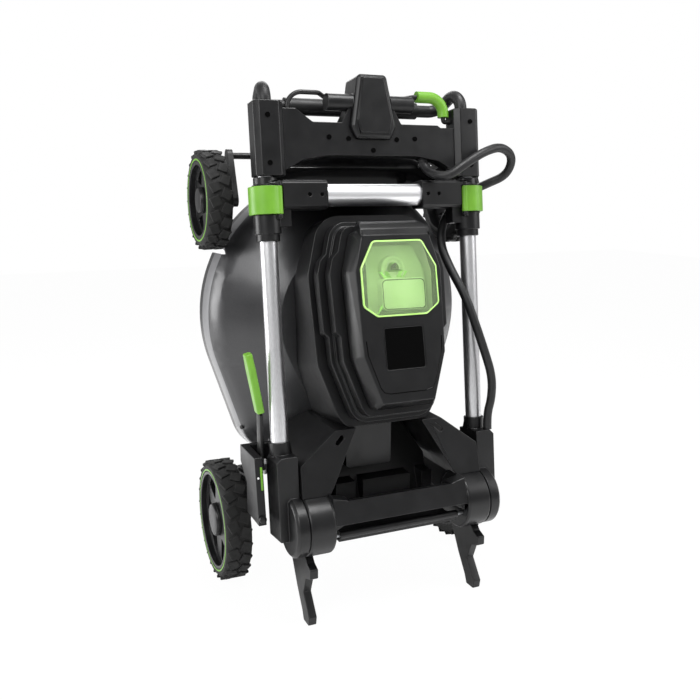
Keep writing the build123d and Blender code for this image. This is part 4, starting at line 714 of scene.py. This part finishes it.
# Faces of the rim above the lid take the painted glow.
for face in window.data.polygons:
    if face.select and above(face, LID_TOP) > 0:
        face.material_index = 1
lid = mouldings["battery_lid"]
lid.data.materials.append(plate_black_and_shade)
plates = select_faces(lid, lambda face: faces_up(face) and abs(above(face, PLATE_TOP)) < NEAR)
bpy.ops.object.mode_set(mode="OBJECT")
for face in lid.data.polygons:
    if face.select:
        face.material_index = 1
print("window tops", tops, "plate faces", plates)

# %% [markdown]
# Behind the window lies the battery's upper face: a round gauge with a ring, a raised block with a
# dark seam round its top, and a black left part. The copy of the battery's solid gets a cut where the
# black begins, and its gauge and block are worked with insets and short extrusions.

# %% Battery face
GAUGE, BLOCK, BLACK_LEFT_X = on_lid(0, 86, -4), on_lid(16, 41, -1), -0.046
RING_WIDE, RING_DEEP, DIAL_INSET, SEAM_WIDE = 0.004, 0.003, 0.006, 0.0018
WITHIN = 0.008
GREY, BLACK, PALE = 0, 1, 2


def lift(height):
    bpy.ops.mesh.extrude_region_move(TRANSFORM_OT_translate={"value": OUT_LID * height})


def assign(number):
    bpy.context.object.active_material_index = number
    bpy.ops.object.material_slot_assign()


battery = moulding("battery_pack", 1.5)
for finish in (black_abs, rim_glow_and_dial):
    battery.data.materials.append(finish)
gauges = select_faces(battery, lambda face: faces_up(face) and (face.center - GAUGE).length < WITHIN)
bpy.ops.mesh.inset(thickness=RING_WIDE, depth=0)
lift(-RING_DEEP)
bpy.ops.mesh.inset(thickness=DIAL_INSET, depth=0)
lift(RING_DEEP)
assign(PALE)
blocks = select_faces(battery, lambda face: faces_up(face) and (face.center - BLOCK).length < WITHIN)
assign(BLACK)
bpy.ops.mesh.inset(thickness=SEAM_WIDE, depth=0)
assign(GREY)
bpy.ops.mesh.select_all(action="SELECT")
# Left of this cut the battery's face is black.
bpy.ops.mesh.bisect(plane_co=(BLACK_LEFT_X, 0, 0), plane_no=(1, 0, 0))
black_left_faces = select_faces(battery, lambda face: face.center.x < BLACK_LEFT_X)
assign(BLACK)
bpy.ops.object.mode_set(mode="OBJECT")
print("battery", gauges, "gauge", blocks, "block", black_left_faces, "black_left faces")

# %% [markdown]
# A fine groove is moulded round the lower end of the lid. It is not cut into the mesh: from a step
# away it is only a dark line of shade, so a thin near-black cord is laid half into the surface as
# painted shade. One half's points and their mirror give its line.

# %% Lid groove, painted shade
GROOVE_Q, GROOVE_RADIUS = 17.9, 0.0009
GROOVE_HALF = [(70.5, -34), (69, -58), (51, -113), (45, -121), (34, -124)]
groove_points = GROOVE_HALF + [(-x, p) for x, p in reversed(GROOVE_HALF)]
groove_shade_cord = draw_line("lid_groove_painted_shade", [on_lid(x, p, GROOVE_Q) for x, p in groove_points])
bpy.ops.object.mode_set(mode="OBJECT")
pick(groove_shade_cord)
bpy.ops.object.convert(target="CURVE")
groove_shade_cord = bpy.context.object
groove_shade_cord.data.bevel_depth = GROOVE_RADIUS
groove_shade_cord.data.bevel_resolution = 2
bpy.ops.object.convert(target="MESH")
groove_shade_cord = bpy.context.object
# The cord takes the near-black film as painted shade of the groove.
settle(groove_shade_cord, "lid_assembly", "gloss_black", plate_black_and_shade)
print("groove_shade_cord", len(groove_shade_cord.data.vertices), "vertices")

# %% [markdown]
# Small things that the hand looks for: a green scale strip and a white dot on the height quadrant,
# the knob of its end stop, a screw through the deck and the flat cover of the lever's arm. Each is
# a short button or a flat slab, and its foot is sunk into the piece that holds it.

# %% Small marks
white_mark, where = start_finish("white_print")
shader = add(white_mark, "BsdfPrincipled", {
    "Base Color": blotches(white_mark, where, 6, 0.3, 0.7, (colour("#E4E4E2"), colour("#F0F0EE"))),
    "Roughness": 0.5})
end_finish(white_mark, shader)

EDGE_SHARE = 0.3


def button(name, place, up, out, radius, height, body, slot, material):
    bpy.ops.object.select_all(action="DESELECT")
    bpy.ops.mesh.primitive_cylinder_add(vertices=24, radius=radius, depth=2 * height, location=(0, 0, 0))
    made = bpy.context.object
    made.name = name
    select_faces(made, lambda face: face.normal.z > FACES_OUT)
    bpy.ops.mesh.bevel(offset=EDGE_SHARE * min(radius, height), segments=2, affect="EDGES")
    bpy.ops.object.mode_set(mode="OBJECT")
    bpy.ops.object.shade_smooth_by_angle(angle=SMOOTH)
    made.data.transform(facing(place, up, out))
    settle(made, body, slot, material)
    return made


def slab(name, place, up, out, size, edge, body, slot):
    bpy.ops.object.select_all(action="DESELECT")
    bpy.ops.mesh.primitive_cube_add(size=1, location=(0, 0, 0))
    made = bpy.context.object
    made.name = name
    bpy.ops.object.mode_set(mode="EDIT")
    bpy.ops.mesh.select_all(action="SELECT")
    bpy.ops.transform.resize(value=size, center_override=(0, 0, 0))
    bpy.ops.mesh.bevel(offset=edge, segments=2, affect="EDGES")
    bpy.ops.object.mode_set(mode="OBJECT")
    bpy.ops.object.shade_smooth_by_angle(angle=SMOOTH)
    made.data.transform(facing(place, up, out))
    settle(made, body, slot)
    return made


DOT, STOP, SCALE = standing(-238.5, 144, 305.2), standing(-236, 74, 316.2), standing(-232.6, 142.5, 305.5)
UP_SCALE, OUT_SCALE = Vector((0, 0.1546, 0.988)), Vector((0, -0.988, 0.1546))
SCALE_SIZE = (0.004, 0.040, 0.0014)
SKIRT_HOLE, OUT_SKIRT = standing(-202.7, 169.6, 88.7), Vector((-0.83, -0.56, 0))
ARM_LOW, ARM_HIGH = standing(-220, 152, 262), standing(-223, 250, 272)
UP_ARM = (ARM_HIGH - ARM_LOW).normalized()
OUT_ARM = Vector((1, 0, 0)).cross(UP_ARM).normalized()
ARM_SIZE = (0.0062, 0.094, 0.020)
marks = [
    button("quadrant_dot", DOT, UP_SCALE, OUT_SCALE, radius=0.0018, height=0.0005, body="deck",
           slot="gloss_black", material=white_mark),
    button("quadrant_stop", STOP, UP_SCALE, OUT_SCALE, radius=0.0065, height=0.006, body="deck",
           slot="black_plastic", material=black_abs),
    button("deck_screw", SKIRT_HOLE, Vector((0, 0, 1)), OUT_SKIRT, radius=0.004, height=0.0025, body="deck",
           slot="black_steel", material=black_steel),
    slab("quadrant_scale", SCALE, UP_SCALE, OUT_SCALE, SCALE_SIZE, edge=0.0003, body="deck",
         slot="green_plastic"),
    slab("lever_arm_cover", (ARM_LOW + ARM_HIGH) / 2, UP_ARM, OUT_ARM, ARM_SIZE, edge=0.001,
         body="rear_axle_assembly", slot="black_steel")]
print("marks", [mark.name for mark in marks])

# %% [markdown]
# The studio: a pale floor, a surround that is white for camera and glass rays, and five large soft
# lamps. One stands high on the left and a weaker one on the right. One behind lights the rims, one
# above the ledges, and one far left the skirt of the deck. The floor is nearly all glow where the
# camera sees it, so that only the darkest shadows show, and the surround is dimmer as a light, so
# that black stays black.

# %% Studio
GLOW_SHARE, SURROUND_LIGHT = 0.975, 0.42
floor_finish, where = start_finish("studio_floor")
paper = add(floor_finish, "BsdfPrincipled", {
    "Base Color": blotches(floor_finish, where, 300, 0.3, 0.7, (colour("#F4F4F4"), colour("#F7F7F7"))),
    "Roughness": 0.9})
white = add(floor_finish, "Emission", {"Color": (1, 1, 1, 1), "Strength": 1.0})
path_kind = add(floor_finish, "LightPath")
glow = add(floor_finish, "Math", {0: path_kind.outputs["Is Camera Ray"], 1: GLOW_SHARE}, operation="MULTIPLY")
end_finish(floor_finish, add(floor_finish, "MixShader", {
    0: glow.outputs[0], 1: paper.outputs[0], 2: white.outputs[0]}))
bpy.ops.object.select_all(action="DESELECT")
bpy.ops.mesh.primitive_plane_add(size=12, location=(0, 0, 0))
floor = bpy.context.object
floor.name = "studio_floor"
dress(floor, floor_finish)

world = bpy.data.worlds.new("studio_surround")
world.use_nodes = True
bpy.context.scene.world = world
world.node_tree.nodes.clear()
ray = add(world, "LightPath")
seen = add(world, "Math", {0: ray.outputs["Is Camera Ray"], 1: ray.outputs["Is Transmission Ray"]},
           operation="MAXIMUM")
ambient = add(world, "Background", {"Color": (1, 1, 1, 1), "Strength": SURROUND_LIGHT})
backdrop = add(world, "Background", {"Color": (1, 1, 1, 1), "Strength": 1.0})
add(world, "OutputWorld", {"Surface": add(world, "MixShader", {
    0: seen.outputs[0], 1: ambient.outputs[0], 2: backdrop.outputs[0]}).outputs[0]})


def lamp(name, place, aim, size, power):
    bpy.ops.object.select_all(action="DESELECT")
    turn = (Vector(aim) - Vector(place)).to_track_quat("-Z", "Y").to_euler()
    bpy.ops.object.light_add(type="AREA", location=place, rotation=turn)
    made = bpy.context.object
    made.name = name
    made.data.size = size
    made.data.energy = power


lamp("lamp_left", (-1.9, -1.5, 2.1), (0, 0, 0.5), 1.6, 52)
lamp("lamp_right", (2.0, -1.2, 1.6), (0, 0, 0.5), 1.4, 26)
lamp("lamp_back", (0.4, 1.8, 1.9), (0, 0, 0.5), 1.4, 26)
lamp("lamp_top", (0.3, -0.7, 2.6), (0, 0, 0.4), 1.0, 54)
lamp("lamp_skirt", (-2.4, 0.9, 0.7), (0, 0, 0.4), 1.2, 40)
bpy.context.scene.view_settings.view_transform = "Standard"

# %% Finish
bpy.context.view_layer.update()
